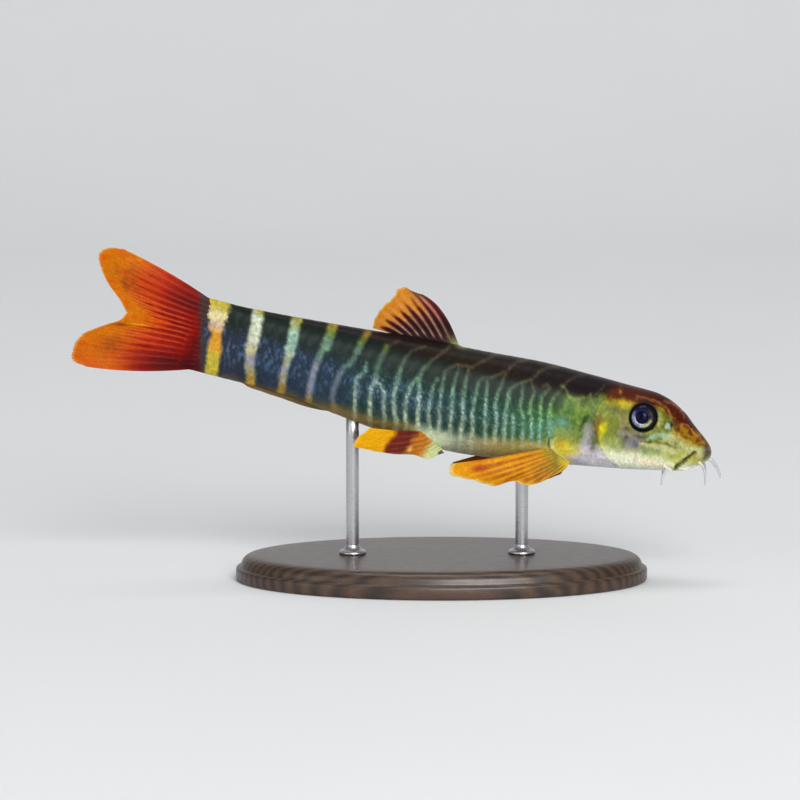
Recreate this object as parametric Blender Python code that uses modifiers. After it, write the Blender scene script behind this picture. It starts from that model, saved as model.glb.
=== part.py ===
"""A red-tailed banded loach: a still, life-size model on a plain display stand.

The fish faces +X, with its right flank towards -Y and +Z up. The origin is the centre of the stand's underside.
A place on the fish is told as (s, side, up) in millimetres: back from the snout along the spine line,
out towards the right flank, and up from the spine line.
"""

import math

import bmesh
import bpy
import numpy as np

MM = 0.001
GAP = 0.3  # between pieces that touch

# The spine line: where it starts, and how it slopes and bends, in degrees at each distance back from the snout.
SNOUT = (42.0, -1.6, 22.0)
SLOPE = ((0, 9.2), (32, 9.2), (50, 15.2), (104, 15.2))
BEND = ((0, 5.0), (12, 5.0), (36, 0.0), (60, -2.0), (80, -3.0), (104, -1.0))
SPINE_STEP = 0.25
SPINE_ENDS = (-4.0, 104.0)

# The body: back from the snout, height above and below the spine line, half width, height of the widest
# point, and how square the lower half of the section is.
BODY = (
    (0.0, -2.1, 2.1, 0.0, -2.1, 2.2),
    (0.4, -0.95, 3.1, 1.5, -2.2, 2.3),
    (2.0, 0.7, 4.0, 2.8, -1.9, 2.5),
    (3.3, 1.85, 4.7, 3.4, -1.8, 2.6),
    (4.9, 3.4, 5.3, 3.9, -1.6, 2.7),
    (6.6, 4.6, 5.65, 4.4, -1.5, 2.8),
    (8.0, 5.3, 5.85, 4.7, -1.4, 2.8),
    (10.0, 5.9, 6.15, 5.1, -1.3, 2.8),
    (14.0, 6.3, 6.6, 5.6, -1.2, 2.7),
    (20.0, 6.9, 7.2, 6.0, -1.0, 2.6),
    (30.0, 7.7, 8.1, 6.1, -0.8, 2.5),
    (40.0, 7.8, 8.5, 5.8, -0.6, 2.3),
    (50.0, 7.3, 8.0, 5.0, -0.5, 2.2),
    (60.0, 6.4, 7.0, 3.9, -0.4, 2.1),
    (66.0, 5.9, 6.4, 3.2, -0.4, 2.0),
    (72.0, 5.45, 6.25, 2.4, -0.4, 2.0),
    (77.0, 5.2, 6.3, 1.6, -0.5, 2.0),
    (80.8, 5.2, 6.3, 0.7, -0.5, 2.0),
)
UPPER_SQUARENESS = 2.15
BODY_END = 80.8
SIDES = 40

# Where the body is parted, and how far apart its rings are in each length.
GILL_OPENING = 20.6
MID_TRUNK = 42.0
VENT = 62.0
HEAD_RINGS = (
    0.1, 0.4, 0.9, 1.5, 2.2, 3.0, 3.8, 4.6, 5.4, 6.2, 7.0, 8.0, 9.0, 10.0,
    11.2, 12.4, 13.6, 15.0, 16.4, 17.8, 19.2,
)
TRUNK_SPACING = 2.4

# The eyes, deep in their sockets.
EYE_RADIUS = 2.4
EYE_S = 11.3
EYE_UP = 2.2
EYE_SIDE = 3.2

# The nostrils: a short front tube and a pit behind it, at (s, up) on the skin.
FRONT_NOSTRIL = (7.3, 1.6)
REAR_NOSTRIL = (8.4, 2.3)
NOSTRIL_RADIUS = 0.62
NOSTRIL_RISE = 0.45
NOSTRIL_BORE = 0.32
NOSTRIL_DEPTH = 0.8

# The mouth, a horseshoe under the snout: its front and corners, its lips, and the fold above the upper lip.
MOUTH_FRONT = 2.3
MOUTH_CORNER = 5.7
MOUTH_SPREAD = 43.0  # degrees from straight down to each corner
MOUTH_LINE = 0.24
LIP_RADIUS = 0.5
LIP_OFFSET = 0.55
LIP_FOLD = ((5.4, -4.8), (4.7, -4.1), (4.0, -3.4), (2.9, -2.3), (2.5, -1.9))
FOLD_RADIUS = 0.22

# Lines on each side of the head, at (s, up) on the skin.
CHEEK_GROOVE = ((10.9, -1.1), (9.4, -1.3), (6.4, -1.45), (4.9, -1.9))
GILL_EDGE = ((17.7, 4.2), (18.5, 3.0), (18.7, 1.2), (18.2, -0.8), (17.5, -2.4), (16.4, -4.1), (14.6, -5.6))
GROOVE_RADIUS = 0.26

# The barbels, at (s, side, up) from root to tip, and their radii.
BARBELS = {
    "rostral_inner": ((1.1, 0.7, -2.4), (-0.2, 1.0, -3.0), (-1.2, 1.2, -4.0), (-2.0, 1.4, -5.3)),
    "rostral_outer": ((1.9, 1.9, -3.2), (0.9, 2.3, -4.0), (0.4, 2.7, -5.2), (0.2, 2.9, -6.6)),
    "maxillary": ((6.1, 2.7, -4.2), (6.5, 3.4, -5.5), (6.9, 3.8, -6.5), (6.8, 4.0, -7.6)),
}
BARBEL_ROOT_RADIUS = 0.36
BARBEL_TIP_RADIUS = 0.13

# The fins. Each has a base, a middle and a margin line, told as places from the leading ray to the last one.
DORSAL_BASE = ((41.5, 0, 7.5), (46.5, 0, 7.4), (51.6, 0, 7.0))
DORSAL_MIDDLE = ((45.4, 0, 12.15), (48.9, 0.1, 10.6), (51.8, 0.1, 8.9), (53.7, 0, 7.15))
DORSAL_MARGIN = (
    (49.6, 0, 14.2), (51.2, 0.1, 14.3), (52.7, 0.2, 14.65), (53.6, 0.3, 14.0), (53.9, 0.4, 12.7),
    (54.8, 0.4, 11.4), (55.5, 0.3, 9.8), (55.8, 0.2, 8.4), (55.7, 0.1, 7.2),
)
CAUDAL_BASE_S = 81.1
CAUDAL_FORK_UP = -0.25
UPPER_LOBE_BASE = ((CAUDAL_BASE_S, 0, 5.1), (CAUDAL_BASE_S, 0, CAUDAL_FORK_UP + GAP / 2))
UPPER_LOBE_MIDDLE = ((88.9, 0, 7.6), (90.8, 0.3, 4.7), (89.2, 0.3, 1.9), (87.0, 0, CAUDAL_FORK_UP + GAP / 2))
UPPER_LOBE_MARGIN = (
    (96.0, -0.5, 9.1), (97.6, -0.6, 8.85), (98.9, -0.7, 8.2), (99.35, -0.7, 7.2), (98.5, -0.5, 5.4),
    (96.6, -0.2, 3.15), (94.4, 0.1, 1.35), (92.95, 0.2, CAUDAL_FORK_UP + GAP / 2),
)
LOWER_LOBE_BASE = ((CAUDAL_BASE_S, 0, CAUDAL_FORK_UP - GAP / 2), (CAUDAL_BASE_S, 0, -6.2))
LOWER_LOBE_MIDDLE = (
    (87.0, 0, CAUDAL_FORK_UP - GAP / 2), (88.9, -0.3, -2.6), (90.4, -0.3, -5.6), (89.2, 0, -8.65),
)
LOWER_LOBE_MARGIN = (
    (92.95, 0.2, CAUDAL_FORK_UP - GAP / 2), (93.6, 0.25, -1.5), (95.3, 0.35, -2.65), (97.1, 0.5, -3.85),
    (98.7, 0.6, -5.2), (99.5, 0.75, -7.3), (99.5, 0.8, -8.8), (98.7, 0.8, -9.65), (97.0, 0.7, -9.9),
)
ANAL_BASE = ((58.4, 0, -7.0), (63.0, 0, -6.6))
ANAL_MIDDLE = ((61.6, 0.1, -7.3), (64.6, 0.15, -6.9), (67.4, 0.15, -6.3))
ANAL_MARGIN = ((65.2, 0.2, -7.1), (68.4, 0.25, -6.8), (71.6, 0.25, -6.65), (73.2, 0.25, -6.2))
PECTORAL_BASE = ((24.6, 5.1, -4.6), (22.9, 4.7, -5.9), (21.5, 3.6, -6.9))
PECTORAL_MIDDLE = ((32.0, 7.7, -6.7), (29.6, 7.7, -8.0), (26.2, 6.8, -8.3), (22.2, 4.4, -7.9))
PECTORAL_MARGIN = (
    (39.4, 10.2, -8.85), (39.9, 10.1, -9.75), (38.9, 9.9, -10.8), (36.2, 9.3, -10.9), (34.2, 8.8, -11.25),
    (32.7, 8.4, -11.4), (31.0, 8.0, -10.6), (29.5, 7.7, -10.25), (27.9, 7.3, -10.65), (26.6, 6.9, -10.5),
    (25.0, 6.2, -9.75), (23.3, 5.2, -8.6),
)
PELVIC_BASE = ((44.6, 4.2, -5.9), (42.6, 3.4, -7.1), (40.6, 2.1, -8.0))
PELVIC_MIDDLE = ((48.2, 5.0, -6.6), (46.9, 4.9, -8.2), (44.0, 4.1, -9.0), (41.4, 2.9, -8.7))
PELVIC_MARGIN = (
    (52.4, 5.5, -7.2), (53.7, 5.7, -8.9), (54.3, 5.8, -10.7), (51.0, 5.6, -10.55), (48.0, 5.3, -10.2),
    (45.2, 4.8, -9.6), (42.7, 4.0, -9.9), (41.2, 3.0, -9.0),
)
HELD_IN = 0.65  # how far out the left paired fins are held, for the right ones' 1
HELD_FOLD = 0.8  # how far they are spread, for the right ones' 1
HELD_SHORTER = 0.9  # how much less far back their margins reach
HELD_DROOP = 0.22  # how much lower they hang, for each millimetre that the right ones stand out
FIN_ROOT_THICKNESS = 0.8
FIN_EDGE_THICKNESS = 0.5
RAY_RIDGE = 0.22
FIN_ROWS = (-0.1, 0.0, 0.12, 0.28, 0.45, 0.62, 0.8, 0.92, 1.0)

# The stand: an oval base and two rods up to the belly.
STAND_BASE_LENGTH = 64.0
STAND_BASE_WIDTH = 36.0
STAND_BASE_HEIGHT = 4.0
STAND_BASE_EDGE = 0.8
STAND_ROD_RADIUS = 1.0
STAND_RODS = {"front": 30.0, "rear": 57.0}


def profile(stations):
    """A smooth function through (x, y) stations that never swings past them."""
    xs, ys = (np.array(values, float) for values in zip(*stations))
    steps = np.diff(xs)
    rises = np.diff(ys) / steps
    slopes = np.zeros(len(xs))
    slopes[0], slopes[-1] = rises[0], rises[-1]
    product = rises[1:] * rises[:-1]
    total = np.where(product > 0, rises[1:] + rises[:-1], 1.0)
    slopes[1:-1] = np.where(product > 0, 2 * product / total, 0.0)

    def value(x):
        i = np.clip(np.searchsorted(xs, x) - 1, 0, len(xs) - 2)
        t = np.clip((x - xs[i]) / steps[i], 0, 1)
        start = (1 + 2 * t) * (1 - t) ** 2 * ys[i] + t * (1 - t) ** 2 * steps[i] * slopes[i]
        end = t * t * (3 - 2 * t) * ys[i + 1] + t * t * (t - 1) * steps[i] * slopes[i + 1]
        return start + end

    return value


def body_profile(column):
    """One column of BODY as a function of the root of s, which keeps the snout round."""
    curve = profile([(math.sqrt(station[0]), station[column]) for station in BODY])
    return lambda s: curve(np.sqrt(np.maximum(s, 0.0)))


TOP, BOTTOM, HALF_WIDTH, WAIST, LOWER_SQUARENESS = (body_profile(column) for column in range(1, 6))


def spine_table():
    """Distances back from the snout, and the spine line's points and forward, right and up directions there."""
    s = np.arange(SPINE_ENDS[0], SPINE_ENDS[1] + SPINE_STEP, SPINE_STEP)
    slope = np.radians(profile(SLOPE)(s))
    bend = np.radians(profile(BEND)(s))
    forward = np.stack([np.cos(bend) * np.cos(slope), -np.sin(bend) * np.cos(slope), -np.sin(slope)], axis=1)
    right = np.stack([-np.sin(bend), -np.cos(bend), np.zeros(len(s))], axis=1)
    middles = (forward[1:] + forward[:-1]) / 2
    points = np.concatenate([np.zeros((1, 3)), -np.cumsum(middles, axis=0) * SPINE_STEP])
    start = int(round(-SPINE_ENDS[0] / SPINE_STEP))
    return s, points - points[start] + np.array(SNOUT), right, np.cross(right, forward)


SPINE_S, SPINE_POINTS, SPINE_RIGHT, SPINE_UP = spine_table()


def along_spine(table, s):
    return np.stack([np.interp(s, SPINE_S, table[:, axis]) for axis in range(3)], axis=-1)


def world(places):
    """Places (s, side, up) in millimetres as world points in metres."""
    places = np.asarray(places, float)
    s, side, up = places[..., 0], places[..., 1:2], places[..., 2:3]
    point = along_spine(SPINE_POINTS, s) + side * along_spine(SPINE_RIGHT, s) + up * along_spine(SPINE_UP, s)
    return point * MM


def skin_place(s, angle, out=0.0):
    """The place on the skin at s and at an angle in degrees, 0 at the right flank and 90 at the back."""
    s, angle = np.broadcast_arrays(np.asarray(s, float), np.radians(angle))
    cosine, sine = np.cos(angle), np.sin(angle)
    squareness = np.where(sine >= 0, UPPER_SQUARENESS, LOWER_SQUARENESS(s))
    reach = np.where(sine >= 0, TOP(s) - WAIST(s), BOTTOM(s) + WAIST(s))
    side = (HALF_WIDTH(s) + out) * np.sign(cosine) * np.abs(cosine) ** (2 / squareness)
    up = WAIST(s) + (reach + out) * np.sign(sine) * np.abs(sine) ** (2 / squareness)
    return np.stack([s, side, up], axis=-1)


def smooth_line(places, count):
    """That many points, evenly spaced along a smooth curve through the places."""
    places = np.asarray(places, float)
    along = np.concatenate([[0.0], np.cumsum(np.linalg.norm(np.diff(places, axis=0), axis=1))])
    spots = np.linspace(0.0, along[-1], count)
    return np.stack([profile(list(zip(along, values)))(spots) for values in places.T], axis=1)


def mirrored(places):
    """The same places on the left flank."""
    return np.asarray(places, float) * (1, -1, 1)


def clear_scene():
    for obj in list(bpy.data.objects):
        bpy.data.objects.remove(obj, do_unlink=True)


def new_collection(name):
    collection = bpy.data.collections.new(name)
    bpy.context.scene.collection.children.link(collection)
    return collection


def material(name, color, roughness, metallic=0.0):
    made = bpy.data.materials.new(name)
    made.use_nodes = True
    shader = made.node_tree.nodes["Principled BSDF"]
    shader.inputs["Base Color"].default_value = (*color, 1.0)
    shader.inputs["Roughness"].default_value = roughness
    shader.inputs["Metallic"].default_value = metallic
    return made


def add_object(name, mesh, collection, finish=None):
    obj = bpy.data.objects.new(name, mesh)
    collection.objects.link(obj)
    if finish is not None:
        mesh.materials.append(finish)
    return obj


def mesh_from(name, points, faces):
    """A closed mesh with its faces turned outwards and shaded smooth."""
    bm = bmesh.new()
    vertices = [bm.verts.new(point) for point in points]
    for face in faces:
        bm.faces.new([vertices[i] for i in face])
    bmesh.ops.recalc_face_normals(bm, faces=bm.faces)
    mesh = bpy.data.meshes.new(name)
    bm.to_mesh(mesh)
    bm.free()
    mesh.shade_smooth()
    return mesh


def loft(name, rings, tip=None):
    """A closed body through rings of points. It starts at the tip, or else with a flat end, and ends flat."""
    rings = np.asarray(rings)
    count, sides = rings.shape[:2]
    first = rings[0].mean(axis=0) if tip is None else tip
    points = np.concatenate([rings.reshape(-1, 3), [first, rings[-1].mean(axis=0)]])
    faces = []
    for ring in range(count - 1):
        for i in range(sides):
            j = (i + 1) % sides
            a, b = ring * sides, (ring + 1) * sides
            faces.append((a + i, a + j, b + j, b + i))
    last = (count - 1) * sides
    for i in range(sides):
        j = (i + 1) % sides
        faces.append((count * sides, j, i))
        faces.append((count * sides + 1, last + i, last + j))
    return mesh_from(name, points, faces)


def body_rings(stations):
    """World rings round the body at each s. They start a half step off the flank, so that none has a seam there."""
    angles = (np.arange(SIDES) + 0.5) * 360 / SIDES
    return [world(skin_place(np.full(SIDES, s), angles)) for s in stations]


def spaced(start, end):
    return np.linspace(start, end, max(3, int(round((end - start) / TRUNK_SPACING)) + 1))


def body_lengths():
    """The rings' distances back from the snout, for each length that the body is parted into."""
    half = GAP / 2
    return {
        "head": np.array([*HEAD_RINGS, GILL_OPENING - half]),
        "trunk_front": spaced(GILL_OPENING + half, MID_TRUNK - half),
        "trunk_rear": spaced(MID_TRUNK + half, VENT - half),
        "caudal_peduncle": spaced(VENT + half, BODY_END),
    }


def swollen_body(cutters):
    """The whole body, swollen by the gap: what the pieces that grow from it are cut with."""
    stations = np.concatenate(list(body_lengths().values()))
    mesh = loft("swollen_body", body_rings(stations), tip=world((0, 0, WAIST(0.0))))
    normals = [vertex.normal.copy() for vertex in mesh.vertices]
    for vertex, normal in zip(mesh.vertices, normals):
        vertex.co += normal * GAP * MM
    return cutter("swollen_body", mesh, cutters)


def cutter(name, mesh, cutters):
    obj = add_object(name, mesh, cutters)
    obj.hide_render = True
    obj.display_type = "WIRE"
    return obj


def tube_mesh(name, points, radii):
    """A round tube through world points, with its own radius in millimetres at each, as a closed mesh."""
    curve = bpy.data.curves.new(name, "CURVE")
    curve.dimensions = "3D"
    curve.bevel_depth = MM
    curve.bevel_resolution = 1
    curve.use_fill_caps = True
    line = curve.splines.new("POLY")
    line.points.add(len(points) - 1)
    for spot, point, radius in zip(line.points, points, radii):
        spot.co = (*point, 1.0)
        spot.radius = radius
    guide = bpy.data.objects.new(name, curve)
    bpy.context.scene.collection.objects.link(guide)
    graph = bpy.context.evaluated_depsgraph_get()
    mesh = bpy.data.meshes.new_from_object(guide.evaluated_get(graph))
    bpy.data.objects.remove(guide)
    bpy.data.curves.remove(curve)
    bm = bmesh.new()
    bm.from_mesh(mesh)
    bmesh.ops.remove_doubles(bm, verts=bm.verts, dist=1e-6)
    bmesh.ops.recalc_face_normals(bm, faces=bm.faces)
    bm.to_mesh(mesh)
    bm.free()
    mesh.shade_smooth()
    return mesh


def apply_booleans(obj):
    """Applies the object's modifiers and keeps its largest closed surface."""
    graph = bpy.context.evaluated_depsgraph_get()
    mesh = bpy.data.meshes.new_from_object(obj.evaluated_get(graph))
    obj.modifiers.clear()
    obj.data = mesh
    bm = bmesh.new()
    bm.from_mesh(mesh)
    bmesh.ops.remove_doubles(bm, verts=bm.verts, dist=1e-7)
    islands = connected_faces(bm)
    largest = max(islands, key=lambda island: sum(face.calc_area() for face in island))
    scraps = [face for island in islands if island is not largest for face in island]
    bmesh.ops.delete(bm, geom=scraps, context="FACES")
    bmesh.ops.triangulate(bm, faces=bm.faces)
    bm.to_mesh(mesh)
    bm.free()
    mesh.set_sharp_from_angle(angle=math.radians(40))


def connected_faces(bm):
    left = set(bm.faces)
    islands = []
    while left:
        island = []
        front = [left.pop()]
        while front:
            face = front.pop()
            island.append(face)
            for edge in face.edges:
                near = [other for other in edge.link_faces if other in left]
                left.difference_update(near)
                front.extend(near)
        islands.append(island)
    return islands


def boolean(obj, operation, other):
    """Adds a Boolean with an object or with a whole collection."""
    modifier = obj.modifiers.new(operation.lower(), "BOOLEAN")
    modifier.operation = operation
    if isinstance(other, bpy.types.Collection):
        modifier.operand_type = "COLLECTION"
        modifier.collection = other
    else:
        modifier.object = other


def mouth_places(offset, out, count=15, spread=MOUTH_SPREAD):
    """Skin places along the mouth's horseshoe, moved back by the offset."""
    turn = np.linspace(-spread, spread, count)
    bow = (np.abs(turn) / MOUTH_SPREAD) ** 1.6
    s = MOUTH_FRONT + (MOUTH_CORNER - MOUTH_FRONT) * bow + offset
    return skin_place(s, -90.0 + turn, out)


def tapered(count, radius, ends=0.45):
    """Radii that are full in the middle and smaller towards both ends."""
    across = np.linspace(-1, 1, count)
    return radius * (1 - (1 - ends) * np.abs(across) ** 3)


def lip_meshes():
    """The upper lip, and the lower lip in two lobes with a notch between them."""
    upper = mouth_places(-LIP_OFFSET, -0.25)
    yield "upper_lip", tube_mesh("upper_lip", world(upper), tapered(len(upper), LIP_RADIUS))
    lower = mouth_places(LIP_OFFSET, -0.28)
    middle = len(lower) // 2
    for name, lobe in (("lower_lip_a", lower[:middle]), ("lower_lip_b", lower[middle + 1:])):
        yield name, tube_mesh(name, world(lobe), tapered(len(lobe), LIP_RADIUS * 0.95, ends=0.6))


def skin_rod(name, place, radius, inside, outside):
    """A short round rod that stands on the skin at (s, angle), on the right flank or, past 90 degrees, the left."""
    s, angle = place
    ends = world([skin_place(s, angle, -inside), skin_place(s, angle, outside)])
    return tube_mesh(name, ends, [radius, radius])


def flank_angle(s, up):
    """The angle round the section, in degrees, where the right flank's skin is at this height."""
    reach = np.where(up >= WAIST(s), TOP(s) - WAIST(s), BOTTOM(s) + WAIST(s))
    squareness = np.where(up >= WAIST(s), UPPER_SQUARENESS, LOWER_SQUARENESS(s))
    share = np.clip((up - WAIST(s)) / reach, -1, 1)
    return np.degrees(np.arcsin(np.sign(share) * np.abs(share) ** (squareness / 2)))


def both_sides(places):
    """Places (s, up) on the skin as (s, angle) on the right flank, and then the same on the left."""
    s, up = np.moveaxis(np.asarray(places, float), -1, 0)
    angle = flank_angle(s, up)
    return np.stack([s, angle], axis=-1), np.stack([s, 180.0 - angle], axis=-1)


def head_additions(collection):
    """The pieces that are joined to the head: lips and the rims of the front nostrils."""
    for name, mesh in lip_meshes():
        add_object(name, mesh, collection)
    for number, place in enumerate(both_sides(FRONT_NOSTRIL)):
        name = f"nostril_rim_{number}"
        add_object(name, skin_rod(name, place, NOSTRIL_RADIUS, 0.6, NOSTRIL_RISE), collection)


def groove_cutters(collection):
    """What is cut from the head as lines: mouth, folds above the lip, cheek grooves and gill-cover edges."""
    mouth = mouth_places(0.0, 0.12, count=17)
    cutter("mouth_line", tube_mesh("mouth_line", world(mouth), tapered(17, MOUTH_LINE, ends=0.8)), collection)
    lines = {"lip_fold": (LIP_FOLD, FOLD_RADIUS, 7), "cheek_groove": (CHEEK_GROOVE, FOLD_RADIUS, 7)}
    lines["gill_edge"] = (GILL_EDGE, GROOVE_RADIUS, 15)
    for name, (places, radius, count) in lines.items():
        for number, side in enumerate(both_sides(smooth_line(places, count))):
            s, angle = side.T
            points = world(skin_place(s, angle, 0.02))
            full = f"{name}_{number}"
            cutter(full, tube_mesh(full, points, tapered(count, radius, ends=0.6)), collection)


def ball_mesh(name, radius, segments, rings):
    bm = bmesh.new()
    bmesh.ops.create_uvsphere(bm, u_segments=segments, v_segments=rings, radius=radius * MM)
    mesh = bpy.data.meshes.new(name)
    bm.to_mesh(mesh)
    bm.free()
    mesh.shade_smooth()
    return mesh


def eye_places():
    """Each eye's name and its centre."""
    for name, sign in (("right", 1), ("left", -1)):
        yield name, world((EYE_S, sign * EYE_SIDE, EYE_UP))


def pit_cutters(collection):
    """Eye sockets and nostril pits."""
    for name, centre in eye_places():
        socket = cutter(f"socket_{name}", ball_mesh(f"socket_{name}", EYE_RADIUS + GAP, 24, 14), collection)
        socket.location = centre
    for place in (FRONT_NOSTRIL, REAR_NOSTRIL):
        for number, side in enumerate(both_sides(place)):
            name = f"nostril_pit_{place[0]:.0f}_{number}"
            cutter(name, skin_rod(name, side, NOSTRIL_BORE, NOSTRIL_DEPTH, 1.0), collection)


def remove_collection(collection):
    for obj in list(collection.objects):
        bpy.data.objects.remove(obj, do_unlink=True)
    bpy.data.collections.remove(collection)


def make_head(fish, finish):
    rings = body_rings(body_lengths()["head"])
    head = add_object("head", loft("head", rings, tip=world((0, 0, WAIST(0.0)))), fish, finish)
    additions = new_collection("head_additions")
    head_additions(additions)
    boolean(head, "UNION", additions)
    apply_booleans(head)
    remove_collection(additions)
    cuts = new_collection("head_cuts")
    groove_cutters(cuts)
    pit_cutters(cuts)
    bpy.context.view_layer.update()
    boolean(head, "DIFFERENCE", cuts)
    apply_booleans(head)
    remove_collection(cuts)


def make_body(fish, finishes):
    for name in ("trunk_front", "trunk_rear", "caudal_peduncle"):
        add_object(name, loft(name, body_rings(body_lengths()[name])), fish, finishes[name])


def make_eyes(fish, finish):
    for name, centre in eye_places():
        eye = add_object(f"eye_{name}", ball_mesh(f"eye_{name}", EYE_RADIUS, 24, 14), fish, finish)
        eye.location = centre


def make_barbels(fish, finish, body):
    for name, places in BARBELS.items():
        for side, sided in (("right", np.asarray(places)), ("left", mirrored(places))):
            points = world(smooth_line(sided, 9))
            radii = np.linspace(BARBEL_ROOT_RADIUS, BARBEL_TIP_RADIUS, 9)
            full = f"barbel_{name}_{side}"
            barbel = add_object(full, tube_mesh(full, points, radii), fish, finish)
            boolean(barbel, "DIFFERENCE", body)
            apply_booleans(barbel)


def fin_sheet(base, middle, margin, columns, rows):
    """World points of a fin's middle surface, row by row from the root to the margin."""
    base, middle, margin = (smooth_line(line, columns) for line in (base, middle, margin))
    sheet = []
    for row in rows:
        if row < 0:
            places = base + row * (4 * middle - 3 * base - margin)
        else:
            places = (1 - row) * (1 - 2 * row) * base + 4 * row * (1 - row) * middle + row * (2 * row - 1) * margin
        sheet.append(world(places))
    return np.array(sheet)


def fin_thickness(rows, columns):
    """Thinner to the margin, with a ridge along every second column, which carries a ray."""
    reach = np.clip(np.asarray(rows), 0, 1)[:, None]
    membrane = FIN_ROOT_THICKNESS + (FIN_EDGE_THICKNESS - FIN_ROOT_THICKNESS) * reach
    ray = (np.arange(columns) % 2 == 0)[None, :]
    return (membrane + ray * RAY_RIDGE * (1 - reach ** 2)) * MM


def plate_mesh(name, front, back):
    """A closed thin plate between two grids of points, split into triangles alike on both faces."""
    rows, columns = front.shape[:2]
    count = rows * columns
    points = np.concatenate([front.reshape(-1, 3), back.reshape(-1, 3)])
    faces = []
    for i in range(rows - 1):
        for j in range(columns - 1):
            a, b = i * columns + j, i * columns + j + 1
            c, d = b + columns, a + columns
            for triangle in ((a, b, c), (a, c, d)):
                faces.append(triangle)
                faces.append(tuple(count + k for k in reversed(triangle)))
    border = [(j, j + 1) for j in range(columns - 1)]
    border += [((i + 1) * columns - 1, (i + 2) * columns - 1) for i in range(rows - 1)]
    border += [(count - 1 - j, count - 2 - j) for j in range(columns - 1)]
    border += [((i + 1) * columns, i * columns) for i in range(rows - 2, -1, -1)]
    faces += [(a, b, count + b, count + a) for a, b in border]
    return mesh_from(name, points, faces)


def make_fin(name, lines, rays, fish, finish, body=None, rows=FIN_ROWS):
    """A fin of that many rays. With a body, its root is sunk and then cut to follow the skin."""
    columns = 2 * rays - 1
    rows = [row for row in rows if row >= 0 or body is not None]
    sheet = fin_sheet(*lines, columns, rows)
    down, across = np.gradient(sheet, axis=0), np.gradient(sheet, axis=1)
    normals = np.cross(down, across)
    normals /= np.linalg.norm(normals, axis=2, keepdims=True)
    half = fin_thickness(rows, columns)[:, :, None] / 2
    fin = add_object(name, plate_mesh(name, sheet + normals * half, sheet - normals * half), fish, finish)
    if body is not None:
        boolean(fin, "DIFFERENCE", body)
        apply_booleans(fin)


def held_in(lines):
    """A left paired fin's lines: the right one's mirrored, but held closer in, folded and lower at the margin."""
    held = [mirrored(lines[0])]
    for line, share in ((mirrored(lines[1]), 0.5), (mirrored(lines[2]), 1.0)):
        s, side, up = line.T
        up = up[0] + HELD_FOLD * (up - up[0]) + HELD_DROOP * share * side
        held.append(np.stack([s - HELD_SHORTER * share, side * (1 - share * (1 - HELD_IN)), up], axis=1))
    return held


def make_fins(fish, finishes, body):
    lobes = {
        "caudal_fin_upper_lobe": (UPPER_LOBE_BASE, UPPER_LOBE_MIDDLE, UPPER_LOBE_MARGIN),
        "caudal_fin_lower_lobe": (LOWER_LOBE_BASE, LOWER_LOBE_MIDDLE, LOWER_LOBE_MARGIN),
    }
    for name, lines in lobes.items():
        make_fin(name, lines, 9, fish, finishes["caudal_fin"])
    make_fin("dorsal_fin", (DORSAL_BASE, DORSAL_MIDDLE, DORSAL_MARGIN), 9, fish, finishes["dorsal_fin"], body)
    make_fin("anal_fin", (ANAL_BASE, ANAL_MIDDLE, ANAL_MARGIN), 6, fish, finishes["anal_fin"], body)
    pairs = {
        "pectoral_fin": ((PECTORAL_BASE, PECTORAL_MIDDLE, PECTORAL_MARGIN), 10),
        "pelvic_fin": ((PELVIC_BASE, PELVIC_MIDDLE, PELVIC_MARGIN), 8),
    }
    for name, (lines, rays) in pairs.items():
        make_fin(f"{name}_right", lines, rays, fish, finishes[name], body)
        make_fin(f"{name}_left", held_in(lines), rays, fish, finishes[name], body)


def make_stand_base(fish, finish):
    bpy.ops.mesh.primitive_cylinder_add(vertices=56, radius=0.5, depth=1.0)
    base = bpy.context.object
    base.name = base.data.name = "stand_base"
    size = np.array([STAND_BASE_LENGTH, STAND_BASE_WIDTH, STAND_BASE_HEIGHT]) * MM
    for vertex in base.data.vertices:
        vertex.co = np.array(vertex.co) * size + (0, 0, size[2] / 2)
    edge = base.modifiers.new("rounded_edge", "BEVEL")
    edge.width = STAND_BASE_EDGE * MM
    edge.segments = 2
    edge.limit_method = "ANGLE"
    base.data.materials.append(finish)
    base.data.shade_smooth()
    base.data.set_sharp_from_angle(angle=math.radians(50))
    for collection in base.users_collection:
        collection.objects.unlink(base)
    fish.objects.link(base)


def make_stand_rods(fish, finish, body):
    for name, s in STAND_RODS.items():
        x, y, top = world((s, 0, 0))
        bottom = (STAND_BASE_HEIGHT + GAP) * MM
        bm = bmesh.new()
        radius = STAND_ROD_RADIUS * MM
        bmesh.ops.create_cone(bm, cap_ends=True, segments=20, radius1=radius, radius2=radius, depth=top - bottom)
        mesh = bpy.data.meshes.new(f"stand_rod_{name}")
        bm.to_mesh(mesh)
        bm.free()
        rod = add_object(f"stand_rod_{name}", mesh, fish, finish)
        rod.location = (x, y, (top + bottom) / 2)
        bpy.context.view_layer.update()
        boolean(rod, "DIFFERENCE", body)
        apply_booleans(rod)


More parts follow.
